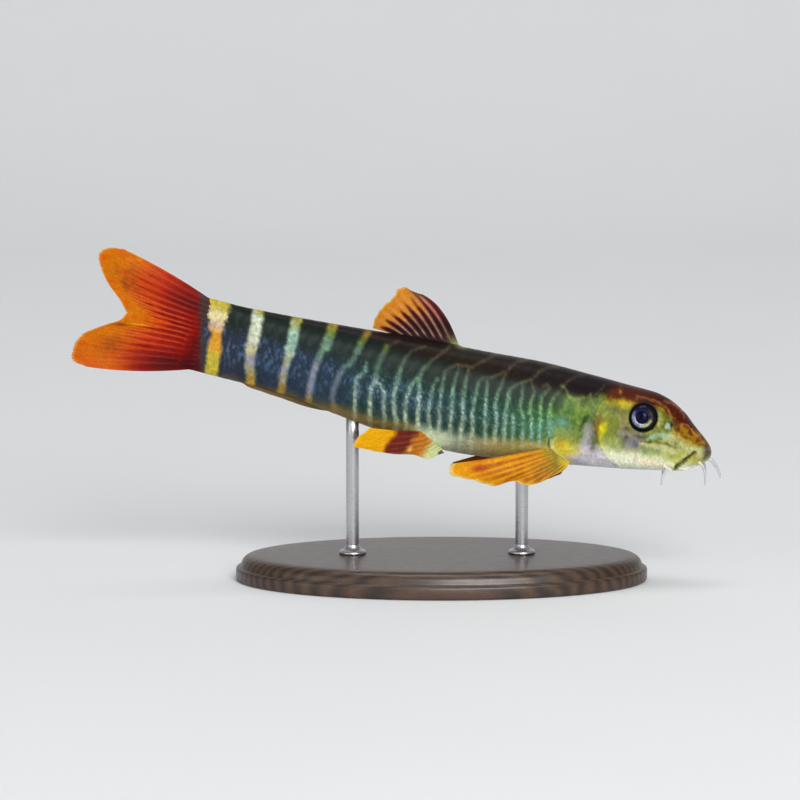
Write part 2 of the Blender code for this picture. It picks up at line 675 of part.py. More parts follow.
def main():
    clear_scene()
    fish = new_collection("red_tailed_loach")
    cutters = new_collection("cutters")
    finishes = {
        "head": material("head_skin", (0.42, 0.34, 0.10), 0.35),
        "trunk_front": material("front_skin", (0.10, 0.16, 0.08), 0.35),
        "trunk_rear": material("middle_skin", (0.07, 0.10, 0.09), 0.35),
        "caudal_peduncle": material("tail_skin", (0.06, 0.07, 0.12), 0.35),
        "dorsal_fin": material("dorsal_fin_membrane", (0.42, 0.14, 0.05), 0.4),
        "caudal_fin": material("caudal_fin_membrane", (0.70, 0.14, 0.01), 0.4),
        "anal_fin": material("anal_fin_membrane", (0.65, 0.30, 0.10), 0.4),
        "pectoral_fin": material("pectoral_fin_membrane", (0.72, 0.34, 0.04), 0.4),
        "pelvic_fin": material("pelvic_fin_membrane", (0.80, 0.45, 0.05), 0.4),
    }
    body = swollen_body(cutters)
    make_head(fish, finishes["head"])
    make_body(fish, finishes)
    make_eyes(fish, material("eye_glass", (0.02, 0.02, 0.05), 0.08))
    make_barbels(fish, material("barbel_skin", (0.75, 0.72, 0.68), 0.4), body)
    make_fins(fish, finishes, body)
    make_stand_base(fish, material("stand_wood", (0.05, 0.03, 0.02), 0.4))
    make_stand_rods(fish, material("stand_steel", (0.6, 0.6, 0.62), 0.3, metallic=1.0), body)


main()
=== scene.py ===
"""The looks of the red-tailed loach model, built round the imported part.

A place on the fish is told as (s, side, up) in millimetres, as in the part's source: back from the snout
along the spine line, out towards the right flank, and up from the spine line. The camera looks at the right
flank.
"""

import math

import bmesh
import bpy
import numpy as np
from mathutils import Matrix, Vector

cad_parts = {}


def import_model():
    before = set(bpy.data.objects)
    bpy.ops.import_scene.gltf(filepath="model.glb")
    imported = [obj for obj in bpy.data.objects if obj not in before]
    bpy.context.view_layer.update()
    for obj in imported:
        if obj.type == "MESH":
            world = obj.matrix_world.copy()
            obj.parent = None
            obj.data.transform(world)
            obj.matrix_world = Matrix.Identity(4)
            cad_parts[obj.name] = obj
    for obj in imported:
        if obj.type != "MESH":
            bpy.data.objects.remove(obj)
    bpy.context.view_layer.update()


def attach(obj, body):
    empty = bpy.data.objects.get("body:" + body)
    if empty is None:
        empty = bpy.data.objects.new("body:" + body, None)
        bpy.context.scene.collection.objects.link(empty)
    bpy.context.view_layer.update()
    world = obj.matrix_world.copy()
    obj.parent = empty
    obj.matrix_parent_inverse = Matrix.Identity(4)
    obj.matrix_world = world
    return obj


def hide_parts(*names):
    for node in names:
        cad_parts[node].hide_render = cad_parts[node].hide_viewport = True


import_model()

MM = 0.001
PHOTO_SIDE = 800  # the photograph's width and height in pixels

# The spine line, and the body round it, as in the part's source.
SNOUT = (42.0, -1.6, 22.0)
SLOPE = ((0, 9.2), (32, 9.2), (50, 15.2), (104, 15.2))
BEND = ((0, 5.0), (12, 5.0), (36, 0.0), (60, -2.0), (80, -3.0), (104, -1.0))
SPINE_STEP = 0.25
SPINE_ENDS = (-4.0, 104.0)

# Back from the snout, height above and below the spine line, half width, height of the widest point, and how
# square the lower half of the section is. The last rows thin the skin out over the root of the tail fin.
BODY = (
    (0.0, -2.1, 2.1, 0.0, -2.1, 2.2),
    (0.4, -0.95, 3.1, 1.5, -2.2, 2.3),
    (2.0, 0.7, 4.0, 2.8, -1.9, 2.5),
    (3.3, 1.85, 4.7, 3.4, -1.8, 2.6),
    (4.9, 3.4, 5.3, 3.9, -1.6, 2.7),
    (6.6, 4.6, 5.65, 4.4, -1.5, 2.8),
    (8.0, 5.3, 5.85, 4.7, -1.4, 2.8),
    (10.0, 5.9, 6.15, 5.1, -1.3, 2.8),
    (14.0, 6.3, 6.6, 5.6, -1.2, 2.7),
    (20.0, 6.9, 7.2, 6.0, -1.0, 2.6),
    (30.0, 7.7, 8.1, 6.1, -0.8, 2.5),
    (40.0, 7.8, 8.5, 5.8, -0.6, 2.3),
    (50.0, 7.3, 8.0, 5.0, -0.5, 2.2),
    (60.0, 6.4, 7.0, 3.9, -0.4, 2.1),
    (66.0, 5.9, 6.4, 3.2, -0.4, 2.0),
    (72.0, 5.45, 6.25, 2.4, -0.4, 2.0),
    (77.0, 5.2, 6.3, 1.6, -0.5, 2.0),
    (80.8, 5.2, 6.3, 0.75, -0.5, 2.0),
    (83.4, 5.3, 6.4, 0.12, -0.5, 2.0),
)
UPPER_SQUARENESS = 2.15
SKIN_END = 83.4

EYE_RADIUS = 2.4
EYE_S = 11.3
EYE_UP = 2.2
EYE_SIDE = 3.2
EYE_TILT = 8.0  # degrees that each eye looks up
EYE_OPENING = 2.12
EYE_RIM_REACH = 1.5  # how far round the opening the skin is drawn to the eye

FRONT_NOSTRIL = (7.3, 1.6)
NOSTRIL_HOLE = (6.8, 1.9)
REAR_NOSTRIL = (8.4, 2.3)

MOUTH_FRONT = 2.3
MOUTH_CORNER = 5.7
MOUTH_SPREAD = 43.0
LIP_OFFSET = 0.55
LIP_FOLD = ((5.1, -4.7), (4.5, -3.9), (3.8, -3.05), (3.1, -2.35), (2.6, -1.9))

CHEEK_GROOVE = ((10.8, -1.05), (9.6, -1.15), (8.4, -0.9), (7.4, -1.0), (6.4, -1.3), (5.3, -1.6))
GILL_EDGE = (
    (-7.0, 12.6), (-5.6, 14.6), (-4.1, 16.4), (-2.4, 17.5), (-0.8, 18.2), (1.2, 18.7), (3.0, 18.5),
    (4.2, 17.7),
)
SHOULDER_EDGE = ((-7.0, 21.6), (-5.0, 21.4), (-3.0, 21.1), (-0.6, 20.6), (1.1, 19.9), (2.4, 19.6))

BARBELS = {
    "rostral_inner": ((1.1, 0.7, -2.4), (-0.2, 1.0, -3.0), (-1.2, 1.2, -4.0), (-2.0, 1.4, -5.3)),
    "rostral_outer": ((1.9, 1.9, -3.2), (0.9, 2.3, -4.0), (0.4, 2.7, -5.2), (0.2, 2.9, -6.6)),
    "maxillary": ((6.1, 2.7, -4.2), (6.5, 3.4, -5.5), (6.9, 3.8, -6.5), (6.8, 4.0, -7.6)),
}
BARBEL_ROOT_RADIUS = 0.3
BARBEL_TIP_RADIUS = 0.1

# The fins' base, middle and margin lines, as in the part's source. The two lobes of the tail fin meet here.
DORSAL_BASE = ((41.5, 0, 7.5), (46.5, 0, 7.4), (51.6, 0, 7.0))
DORSAL_MIDDLE = ((45.4, 0, 12.15), (48.9, 0.1, 10.6), (51.8, 0.1, 8.9), (53.7, 0, 7.15))
DORSAL_MARGIN = (
    (49.6, 0, 14.2), (51.2, 0.1, 14.3), (52.7, 0.2, 14.65), (53.6, 0.3, 14.0), (53.9, 0.4, 12.7),
    (54.8, 0.4, 11.4), (55.5, 0.3, 9.8), (55.8, 0.2, 8.4), (55.7, 0.1, 7.2),
)
CAUDAL_BASE_S = 81.1
CAUDAL_REACH = 14.5
FORK_UP = -0.25
UPPER_LOBE_BASE = ((CAUDAL_BASE_S, 0, 5.1), (CAUDAL_BASE_S, 0, FORK_UP))
UPPER_LOBE_MIDDLE = ((88.9, 0, 7.6), (90.8, 0.3, 4.7), (89.2, 0.3, 1.9), (87.0, 0, FORK_UP))
UPPER_LOBE_MARGIN = (
    (96.0, -0.5, 9.1), (97.6, -0.6, 8.85), (98.9, -0.7, 8.2), (99.35, -0.7, 7.2), (98.5, -0.5, 5.4),
    (96.6, -0.2, 3.15), (94.4, 0.1, 1.35), (92.95, 0.2, FORK_UP),
)
LOWER_LOBE_BASE = ((CAUDAL_BASE_S, 0, FORK_UP), (CAUDAL_BASE_S, 0, -6.2))
LOWER_LOBE_MIDDLE = ((87.0, 0, FORK_UP), (88.9, -0.3, -2.6), (90.4, -0.3, -5.6), (89.2, 0, -8.65))
LOWER_LOBE_MARGIN = (
    (92.95, 0.2, FORK_UP), (93.6, 0.25, -1.5), (95.3, 0.35, -2.65), (97.1, 0.5, -3.85),
    (98.7, 0.6, -5.2), (99.5, 0.75, -7.3), (99.5, 0.8, -8.8), (98.7, 0.8, -9.65), (97.0, 0.7, -9.9),
)
ANAL_BASE = ((58.4, 0, -7.0), (63.0, 0, -6.6))
ANAL_MIDDLE = ((61.6, 0.1, -7.3), (64.6, 0.15, -6.9), (67.4, 0.15, -6.3))
ANAL_MARGIN = ((65.2, 0.2, -7.1), (68.4, 0.25, -6.8), (71.6, 0.25, -6.65), (73.2, 0.25, -6.2))
PECTORAL_BASE = ((24.6, 5.1, -4.6), (22.9, 4.7, -5.9), (21.5, 3.6, -6.9))
PECTORAL_MIDDLE = ((32.0, 7.7, -6.7), (29.6, 7.7, -8.0), (26.2, 6.8, -8.3), (22.2, 4.4, -7.9))
PECTORAL_MARGIN = (
    (39.4, 10.2, -8.85), (39.9, 10.1, -9.75), (38.9, 9.9, -10.8), (36.2, 9.3, -10.9), (34.2, 8.8, -11.25),
    (32.7, 8.4, -11.4), (31.0, 8.0, -10.6), (29.5, 7.7, -10.25), (27.9, 7.3, -10.65), (26.6, 6.9, -10.5),
    (25.0, 6.2, -9.75), (23.3, 5.2, -8.6),
)
PELVIC_BASE = ((44.6, 4.2, -5.9), (42.6, 3.4, -7.1), (40.6, 2.1, -8.0))
PELVIC_MIDDLE = ((48.2, 5.0, -6.6), (46.9, 4.9, -8.2), (44.0, 4.1, -9.0), (41.4, 2.9, -8.7))
PELVIC_MARGIN = (
    (52.4, 5.5, -7.2), (53.7, 5.7, -8.9), (54.3, 5.8, -10.7), (51.0, 5.6, -10.55), (48.0, 5.3, -10.2),
    (45.2, 4.8, -9.6), (42.7, 4.0, -9.9), (41.2, 3.0, -9.0),
)
HELD_IN = 0.65  # how far out the left paired fins are held, for the right ones' 1
HELD_FOLD = 0.8  # how far they are spread, for the right ones' 1
HELD_SHORTER = 0.9  # how much less far back their margins reach
HELD_DROOP = 0.22  # how much lower they hang, for each millimetre that the right ones stand out

STAND_RODS = {"front": 30.0, "rear": 57.0}


# Curves and places on the fish

def profile(stations):
    """A smooth function through (x, y) stations that never swings past them."""
    xs, ys = (np.array(values, float) for values in zip(*stations))
    steps = np.diff(xs)
    rises = np.diff(ys) / steps
    slopes = np.zeros(len(xs))
    slopes[0], slopes[-1] = rises[0], rises[-1]
    product = rises[1:] * rises[:-1]
    total = np.where(product > 0, rises[1:] + rises[:-1], 1.0)
    slopes[1:-1] = np.where(product > 0, 2 * product / total, 0.0)

    def value(x):
        i = np.clip(np.searchsorted(xs, x) - 1, 0, len(xs) - 2)
        t = np.clip((x - xs[i]) / steps[i], 0, 1)
        start = (1 + 2 * t) * (1 - t) ** 2 * ys[i] + t * (1 - t) ** 2 * steps[i] * slopes[i]
        end = t * t * (3 - 2 * t) * ys[i + 1] + t * t * (t - 1) * steps[i] * slopes[i + 1]
        return start + end

    return value


def body_profile(column):
    curve = profile([(math.sqrt(station[0]), station[column]) for station in BODY])
    return lambda s: curve(np.sqrt(np.maximum(s, 0.0)))


TOP, BOTTOM, HALF_WIDTH, WAIST, LOWER_SQUARENESS = (body_profile(column) for column in range(1, 6))


def spine_table():
    s = np.arange(SPINE_ENDS[0], SPINE_ENDS[1] + SPINE_STEP, SPINE_STEP)
    slope = np.radians(profile(SLOPE)(s))
    bend = np.radians(profile(BEND)(s))
    forward = np.stack([np.cos(bend) * np.cos(slope), -np.sin(bend) * np.cos(slope), -np.sin(slope)], axis=1)
    right = np.stack([-np.sin(bend), -np.cos(bend), np.zeros(len(s))], axis=1)
    middles = (forward[1:] + forward[:-1]) / 2
    points = np.concatenate([np.zeros((1, 3)), -np.cumsum(middles, axis=0) * SPINE_STEP])
    start = int(round(-SPINE_ENDS[0] / SPINE_STEP))
    return s, points - points[start] + np.array(SNOUT), right, np.cross(right, forward)


SPINE_S, SPINE_POINTS, SPINE_RIGHT, SPINE_UP = spine_table()


def along_spine(table, s):
    return np.stack([np.interp(s, SPINE_S, table[:, axis]) for axis in range(3)], axis=-1)


def world(places):
    """Places (s, side, up) in millimetres as world points in metres."""
    places = np.asarray(places, float)
    s, side, up = places[..., 0], places[..., 1:2], places[..., 2:3]
    point = along_spine(SPINE_POINTS, s) + side * along_spine(SPINE_RIGHT, s) + up * along_spine(SPINE_UP, s)
    return point * MM


def skin_place(s, angle):
    """The place on the skin at s and at an angle in degrees, 0 at the right flank and 90 at the back."""
    s, angle = np.broadcast_arrays(np.asarray(s, float), np.radians(angle))
    cosine, sine = np.cos(angle), np.sin(angle)
    squareness = np.where(sine >= 0, UPPER_SQUARENESS, LOWER_SQUARENESS(s))
    reach = np.where(sine >= 0, TOP(s) - WAIST(s), BOTTOM(s) + WAIST(s))
    side = HALF_WIDTH(s) * np.sign(cosine) * np.abs(cosine) ** (2 / squareness)
    up = WAIST(s) + reach * np.sign(sine) * np.abs(sine) ** (2 / squareness)
    return np.stack([s, side, up], axis=-1)


def smooth_line(places, count):
    """That many points, evenly spaced along a smooth curve through the places."""
    places = np.asarray(places, float)
    along = np.concatenate([[0.0], np.cumsum(np.linalg.norm(np.diff(places, axis=0), axis=1))])
    even = np.linspace(0.0, along[-1], count)
    return np.stack([profile(list(zip(along, values)))(even) for values in places.T], axis=1)


def mirrored(places):
    return np.asarray(places, float) * (1, -1, 1)


def unit(vectors):
    """The vectors at length 1."""
    return vectors / np.maximum(np.linalg.norm(vectors, axis=-1, keepdims=True), 1e-12)


def around(count):
    """That many angles round a full turn."""
    return np.linspace(0, 2 * math.pi, count, endpoint=False)


def step(low, high, x):
    """0 below low, 1 above high, and smooth between them."""
    t = np.clip((x - low) / (high - low), 0, 1)
    return t * t * (3 - 2 * t)


def bump(x, width):
    return np.exp(-(x / width) ** 2)


def lattice(i, j, seed):
    """A number from -1 to 1 that looks random, for each corner (i, j) of a square lattice."""
    wild = np.sin(i * 12.9898 + j * 78.233 + seed * 37.719) * 43758.5453
    return 2 * (wild - np.floor(wild)) - 1


def ripple(a, b, scale, seed=0.0):
    """A smooth irregular pattern between about -1 and 1, with bumps about as far apart as the scale."""
    total = 0.0
    for octave, share in ((2.0, 1.0), (4.3, 0.45)):
        x, y = a * octave / scale + 7.3 * seed, b * octave / scale + 3.1 * seed
        i, j = np.floor(x), np.floor(y)
        u, v = step(0, 1, x - i), step(0, 1, y - j)
        low = lattice(i, j, octave) * (1 - u) + lattice(i + 1, j, octave) * u
        high = lattice(i, j + 1, octave) * (1 - u) + lattice(i + 1, j + 1, octave) * u
        total = total + share * (low * (1 - v) + high * v)
    return total * 1.15


def spots(a, b, scale, seed, low=0.1, high=0.8):
    """Irregular spots: 1 where the ripple is above high, 0 where it is below low."""
    return step(low, high, ripple(a, b, scale, seed))


def line_distance(s, up, line):
    """How far each (s, up) is from a line of places, and how far along the line, from 0 to 1, it is."""
    line = np.asarray(line, float)
    lengths = np.linalg.norm(np.diff(line, axis=0), axis=1)
    ends = np.concatenate([[0.0], np.cumsum(lengths)]) / lengths.sum()
    best = np.full(np.shape(s), 1e9)
    along = np.zeros(np.shape(s))
    for i, length in enumerate(lengths):
        (s0, up0), (ds, dup) = line[i], line[i + 1] - line[i]
        t = np.clip(((s - s0) * ds + (up - up0) * dup) / length ** 2, 0, 1)
        distance = np.hypot(s - s0 - t * ds, up - up0 - t * dup)
        along = np.where(distance < best, ends[i] + t * (ends[i + 1] - ends[i]), along)
        best = np.minimum(best, distance)
    return best, along


# Colours, as they look in the photograph, from 0 to 255

COLOURS = {
    "back_brown": (30, 22, 14), "back_plum": (24, 16, 18), "bar_frost": (136, 166, 162),
    "vivid_green": (86, 118, 40), "lime": (140, 168, 62), "pale_lime": (150, 166, 108),
    "net_lime": (146, 162, 84), "sea_green": (46, 100, 66), "moss": (36, 78, 34),
    "forest": (22, 54, 38), "slate_green": (25, 50, 47), "slate_blue": (35, 50, 64),
    "storm_blue": (34, 44, 60), "grey_violet": (42, 40, 52), "root_grey": (56, 46, 46),
    "ink_green": (16, 28, 20), "streak_blue": (96, 124, 164), "belly_beige": (170, 154, 108),
    "belly_gold": (170, 150, 78), "belly_white": (202, 212, 174), "belly_grey": (150, 158, 134),
    "belly_olive": (128, 110, 62), "tail_belly": (104, 86, 52), "tail_belly_red": (150, 70, 30),
    "bar_lime": (120, 166, 86), "speck_glint": (206, 220, 208), "bar_green": (112, 146, 118),
    "bar_olive": (116, 112, 78), "bar_tan": (106, 94, 68), "bar_white": (164, 178, 154),
    "tail_beige": (172, 164, 116), "tail_white": (190, 196, 172), "bar_aqua": (118, 164, 146),
    "bar_lavender": (154, 150, 168), "bar_yellow": (178, 160, 54), "bar_pink": (196, 160, 140),
    "bar_amber": (190, 142, 44), "bar_cream": (204, 192, 142), "bar_orange": (200, 142, 40),
    "cap_red": (82, 24, 6), "cap_brown": (68, 24, 8), "cap_dark": (34, 10, 12),
    "cap_orange": (166, 118, 12), "amber": (190, 144, 30), "olive_green": (126, 136, 38),
    "olive_dark": (88, 84, 20), "yellow": (236, 206, 36), "bright_yellow": (255, 240, 20),
    "orange_brown": (150, 88, 30), "beige": (168, 158, 112), "cheek_green": (166, 182, 90),
    "cheek_cream": (212, 212, 150), "cheek_white": (224, 228, 200), "cheek_pink": (232, 200, 168),
    "cheek_aqua": (184, 216, 204), "nostril_pale": (172, 200, 178), "throat_white": (232, 236, 230),
    "throat_lavender": (190, 182, 192), "gill_maroon": (88, 66, 70), "lilac": (186, 180, 216),
    "lavender": (128, 118, 152), "grey_lilac": (156, 150, 142), "grey_olive": (96, 98, 78),
    "grey_green": (132, 148, 112), "turquoise_highlight": (160, 210, 178), "shoulder_blue": (98, 152, 142),
    "snout_shade": (66, 46, 52), "lip_yellow": (182, 186, 70), "groove_brown": (84, 66, 34),
    "groove_dark": (46, 50, 18), "line_orange": (206, 130, 58), "line_peach": (206, 142, 92),
    "orbit_dark": (12, 10, 20), "pectoral_yellow": (206, 190, 56), "dorsal_root": (46, 30, 34),
    "dorsal_dark": (26, 9, 12), "dorsal_brown": (96, 46, 20), "dorsal_red": (60, 12, 12),
    "dorsal_ray": (200, 152, 122), "dorsal_pink": (206, 110, 104), "dorsal_amber": (196, 122, 24),
    "edge_yellow": (196, 176, 96), "tail_red": (122, 10, 6), "tail_plum": (70, 8, 12),
    "tail_scarlet": (162, 34, 6), "tail_orange": (180, 72, 2), "tail_gold": (186, 100, 2),
    "tail_edge": (216, 168, 120), "tail_ray": (208, 92, 32), "tail_dash": (90, 10, 4),
    "fin_olive": (132, 126, 50), "fin_brown": (104, 50, 16), "fin_cream": (224, 196, 120),
    "paired_yellow": (206, 178, 50), "paired_ochre": (190, 132, 30), "paired_orange": (212, 116, 18),
    "paired_gold": (206, 140, 14), "fin_peach": (220, 150, 76), "pelvic_brown": (176, 108, 30),
    "pelvic_pale": (186, 194, 138), "pelvic_maroon": (98, 30, 22), "fin_inner_shade": (84, 28, 16),
    "pelvic_yellow": (208, 150, 4), "barbel_pale": (178, 178, 188), "iris_dark": (18, 18, 48),
    "iris_brown": (74, 62, 54), "iris_silver": (148, 166, 188), "iris_lime": (186, 196, 112),
    "iris_ring": (216, 216, 240), "pupil": (3, 3, 34),
}


def srgb(name):
    return np.array(COLOURS[name], float) / 255


def linear(colour):
    return np.where(colour <= 0.04045, colour / 12.92, ((colour + 0.055) / 1.055) ** 2.4)


def blend(under, over, amount):
    """One colour over another, by an amount from 0 to 1."""
    amount = np.clip(amount, 0, 1)[..., None]
    return under * (1 - amount) + over * amount


def mix(under, *layers):
    """Paints named colours over what is there, one after the other, each by its own amount."""
    for name, amount in layers:
        under = blend(under, srgb(name), amount)
    return under


def ramp(x, *stops):
    """A colour that changes evenly from one named stop to the next."""
    places = [place for place, _ in stops]
    colours = np.array([srgb(name) for _, name in stops])
    return np.stack([np.interp(x, places, colours[:, channel]) for channel in range(3)], axis=-1)


# The markings

# The colours of flank, back and belly from front to back.
GROUND = (
    (19.0, "vivid_green"), (23.5, "vivid_green"), (27.0, "moss"), (35.0, "forest"), (44.0, "slate_green"),
    (54.0, "slate_green"), (60.0, "slate_blue"), (70.0, "storm_blue"), (80.0, "grey_violet"),
)
BACK = ((0, "cap_dark"), (22, "back_plum"), (40, "back_brown"), (56, "back_plum"), (80, "back_brown"))
BELLY = (
    (19, "throat_lavender"), (23, "pectoral_yellow"), (26, "belly_gold"), (31, "belly_gold"),
    (35, "belly_beige"), (39, "belly_grey"), (41, "belly_white"), (44, "belly_white"), (46.5, "belly_olive"),
    (56, "belly_olive"), (62, "tail_belly"), (69.5, "tail_belly"), (71.5, "tail_belly_red"),
    (73.5, "tail_belly"), (80, "grey_olive"),
)
# How high the back's colours start, the belly's end, and the head's red cap and its dark top start.
BACK_EDGE = profile((
    (0, 4.6), (16, 5.2), (18.5, 4.9), (21, 4.1), (25, 4.4), (32, 4.7), (45, 5.3), (60, 5.6), (84, 5.6),
))
BELLY_EDGE = profile((
    (0, -3.0), (20, -3.0), (26, -3.9), (34, -4.5), (40, -4.9), (46, -5.2), (56, -5.6), (84, -6.1),
))
CAP_EDGE = profile((
    (0, -1.2), (2.6, -0.4), (3.8, 0.0), (5.1, 0.5), (6.2, 1.0), (6.7, 2.6), (7.7, 3.6), (8.8, 4.3),
    (11.6, 4.6), (14.2, 4.4), (16.5, 4.2), (17.7, 4.4), (22, 5.6),
))
TOP_EDGE = profile((
    (0, 0.8), (2.5, 1.6), (5.0, 3.8), (6.8, 5.1), (8.0, 5.5), (9.4, 5.9), (11.9, 6.3), (14.5, 6.3),
    (16.5, 5.9), (18.3, 5.2), (22, 5.6),
))
GILL_LINE = profile(GILL_EDGE)
SHOULDER_LINE = profile(SHOULDER_EDGE)
# Where the red of the tail fin starts, from below to above.
TAIL_EDGE = profile(((-6.0, 79.8), (-3.6, 80.4), (-1.3, 81.0), (1.6, 81.9), (3.9, 82.5), (6.0, 82.8)))

# Each pale bar: its places (s, up) from the back down, its width and how bright it is.
TAIL_BARS = (
    (((79.5, 9.0), (79.5, 5.0), (79.3, 3.3)), 3.2, 1.1),
    (((79.3, 3.3), (79.0, 1.2)), 2.2, 1.1),
    (((79.0, 1.6), (78.7, 0.2), (78.6, -1.0)), 1.5, 1.0),
    (((78.6, -1.0), (78.3, -3.4), (78.0, -5.8), (78.0, -9.0)), 2.0, 1.1),
    (((73.4, 9.0), (73.4, 5.0), (73.05, 2.3), (73.1, -0.8)), 1.8, 1.0),
    (((73.1, -0.8), (72.6, -3.2), (71.8, -5.3), (71.6, -7.0)), 1.45, 0.9),
    (((67.5, 9.0), (67.45, 5.4), (67.25, 2.3), (67.3, 0.5)), 1.65, 0.95),
    (((67.3, 0.5), (67.3, -2.5), (66.9, -5.6), (66.8, -7.0)), 1.15, 0.85),
    (((61.5, 7.5), (61.8, 5.4), (61.9, 4.4), (62.1, 2.9)), 1.5, 0.85),
    (((62.1, 2.9), (62.5, 2.0), (62.6, 0.8), (62.8, 0.0), (62.9, -1.4), (62.8, -3.8),
      (62.4, -6.2)), 0.95, 0.8),
    (((56.3, 6.4), (56.6, 5.7), (57.0, 4.9), (57.2, 3.4)), 1.05, 0.7),
    (((57.2, 3.4), (57.5, 2.3), (57.9, 1.2), (58.6, 0.6)), 0.8, 0.6),
    (((58.6, 0.6), (59.0, -1.0), (59.2, -3.0), (59.1, -4.6), (58.2, -6.3)), 0.85, 0.5),
    (((53.0, 5.3), (53.4, 3.4), (53.6, 2.0), (53.5, 0.4), (53.5, -0.6)), 0.85, 0.5),
)
FRONT_BARS = (
    (((55.4, 2.2), (55.3, 1.0), (56.3, -0.6), (56.0, -2.2), (55.7, -3.6), (55.3, -5.0),
      (54.9, -6.4)), 0.6, 0.75),
    (((51.4, 6.6), (52.2, 5.9), (53.0, 5.3)), 0.8, 0.6),
    (((53.4, -0.2), (53.7, -0.9), (53.6, -2.5), (53.1, -4.2), (52.8, -5.7), (52.3, -6.8)), 0.65, 0.8),
    (((53.4, -0.2), (52.5, -0.4), (51.7, -1.3), (51.4, -2.4), (51.0, -4.0), (50.5, -5.2)), 0.6, 0.7),
    (((47.2, 6.8), (48.3, 6.2), (49.0, 5.8), (49.7, 4.6), (50.0, 3.4), (50.1, 1.6), (50.1, -0.9),
      (49.8, -2.5), (49.3, -4.0), (48.6, -5.2)), 0.7, 0.8),
    (((43.2, 7.6), (44.3, 6.6), (45.6, 5.2), (46.6, 3.8), (47.0, 2.5)), 0.75, 0.8),
    (((47.0, 2.5), (47.9, 0.9), (48.1, -0.8), (47.9, -2.5), (47.5, -4.2), (46.9, -5.7)), 0.6, 0.9),
    (((47.0, 2.5), (46.7, 1.2), (46.3, -0.3), (46.0, -2.0), (45.7, -3.7), (45.2, -5.3),
      (44.6, -6.6)), 0.6, 0.9),
    (((44.2, 2.8), (44.6, 1.4), (44.6, -0.2), (44.4, -1.6), (44.1, -3.3), (43.5, -4.8)), 0.55, 0.75),
    (((42.7, 4.7), (43.3, 4.0), (43.2, 2.9), (43.0, 0.2), (42.9, -1.2), (42.5, -2.9),
      (42.2, -4.6)), 0.55, 0.8),
    (((34.6, 7.9), (35.8, 7.7), (36.9, 7.0), (38.4, 6.1), (39.1, 5.5), (40.1, 5.5), (41.6, 5.4),
      (42.7, 4.7)), 0.7, 0.8),
    (((41.2, 5.2), (41.4, 3.3), (41.4, 2.0), (41.3, 0.6), (41.0, -0.8), (40.8, -2.5), (40.5, -4.5),
      (40.1, -6.6)), 0.6, 0.85),
    (((39.6, 5.5), (39.7, 3.6), (39.6, 0.9), (39.3, -0.8), (38.9, -2.1), (38.9, -4.0),
      (38.7, -6.3)), 0.65, 0.9),
    (((30.6, 7.7), (32.1, 7.3), (32.9, 6.6), (33.5, 5.8), (34.3, 5.4), (35.6, 4.7), (37.0, 4.4), (37.6, 3.6),
      (37.8, 1.0), (37.7, -1.4), (37.2, -3.8), (37.1, -5.8)), 0.65, 0.85),
    (((36.4, 4.5), (36.2, 3.2), (36.1, 1.6), (35.9, 0.2), (35.7, -1.8), (35.3, -3.8)), 0.6, 0.85),
    (((33.5, 5.8), (34.0, 3.6), (34.4, 2.4), (34.5, 0.5), (33.9, -1.1), (33.8, -3.4)), 0.6, 0.85),
    (((25.6, 7.4), (26.4, 7.4), (27.4, 7.1), (28.4, 6.5), (29.1, 5.6), (29.9, 5.1), (30.9, 4.6), (32.0, 3.9),
      (32.6, 3.2), (32.7, 0.8), (32.6, -0.9), (32.4, -3.2)), 0.65, 0.85),
    (((30.7, 4.5), (30.5, 2.5), (30.6, 1.1), (30.0, 0.0), (29.7, -1.5), (29.4, -3.4)), 0.55, 0.8),
    (((29.5, 5.1), (28.7, 3.5), (29.0, 1.8), (28.9, 0.4), (28.4, -0.8), (28.1, -2.6)), 0.55, 0.85),
    (((27.5, 4.6), (26.9, 5.0), (26.4, 4.5), (27.0, 3.7), (27.5, 3.1), (27.4, 2.0), (27.2, 0.4), (27.0, -1.4),
      (26.8, -3.3)), 0.6, 0.85),
    (((21.4, 6.9), (22.3, 6.7), (23.4, 6.2), (24.0, 5.6), (24.7, 4.4), (25.5, 3.3), (25.9, 2.2), (25.8, 0.9),
      (25.5, -0.7), (25.3, -2.8)), 0.65, 0.8),
    (((31.5, -0.4), (31.1, -2.1), (31.0, -3.8)), 0.5, 0.8),
    (((22.9, 4.2), (23.4, 2.6), (23.2, 0.6)), 0.7, 0.35),
)

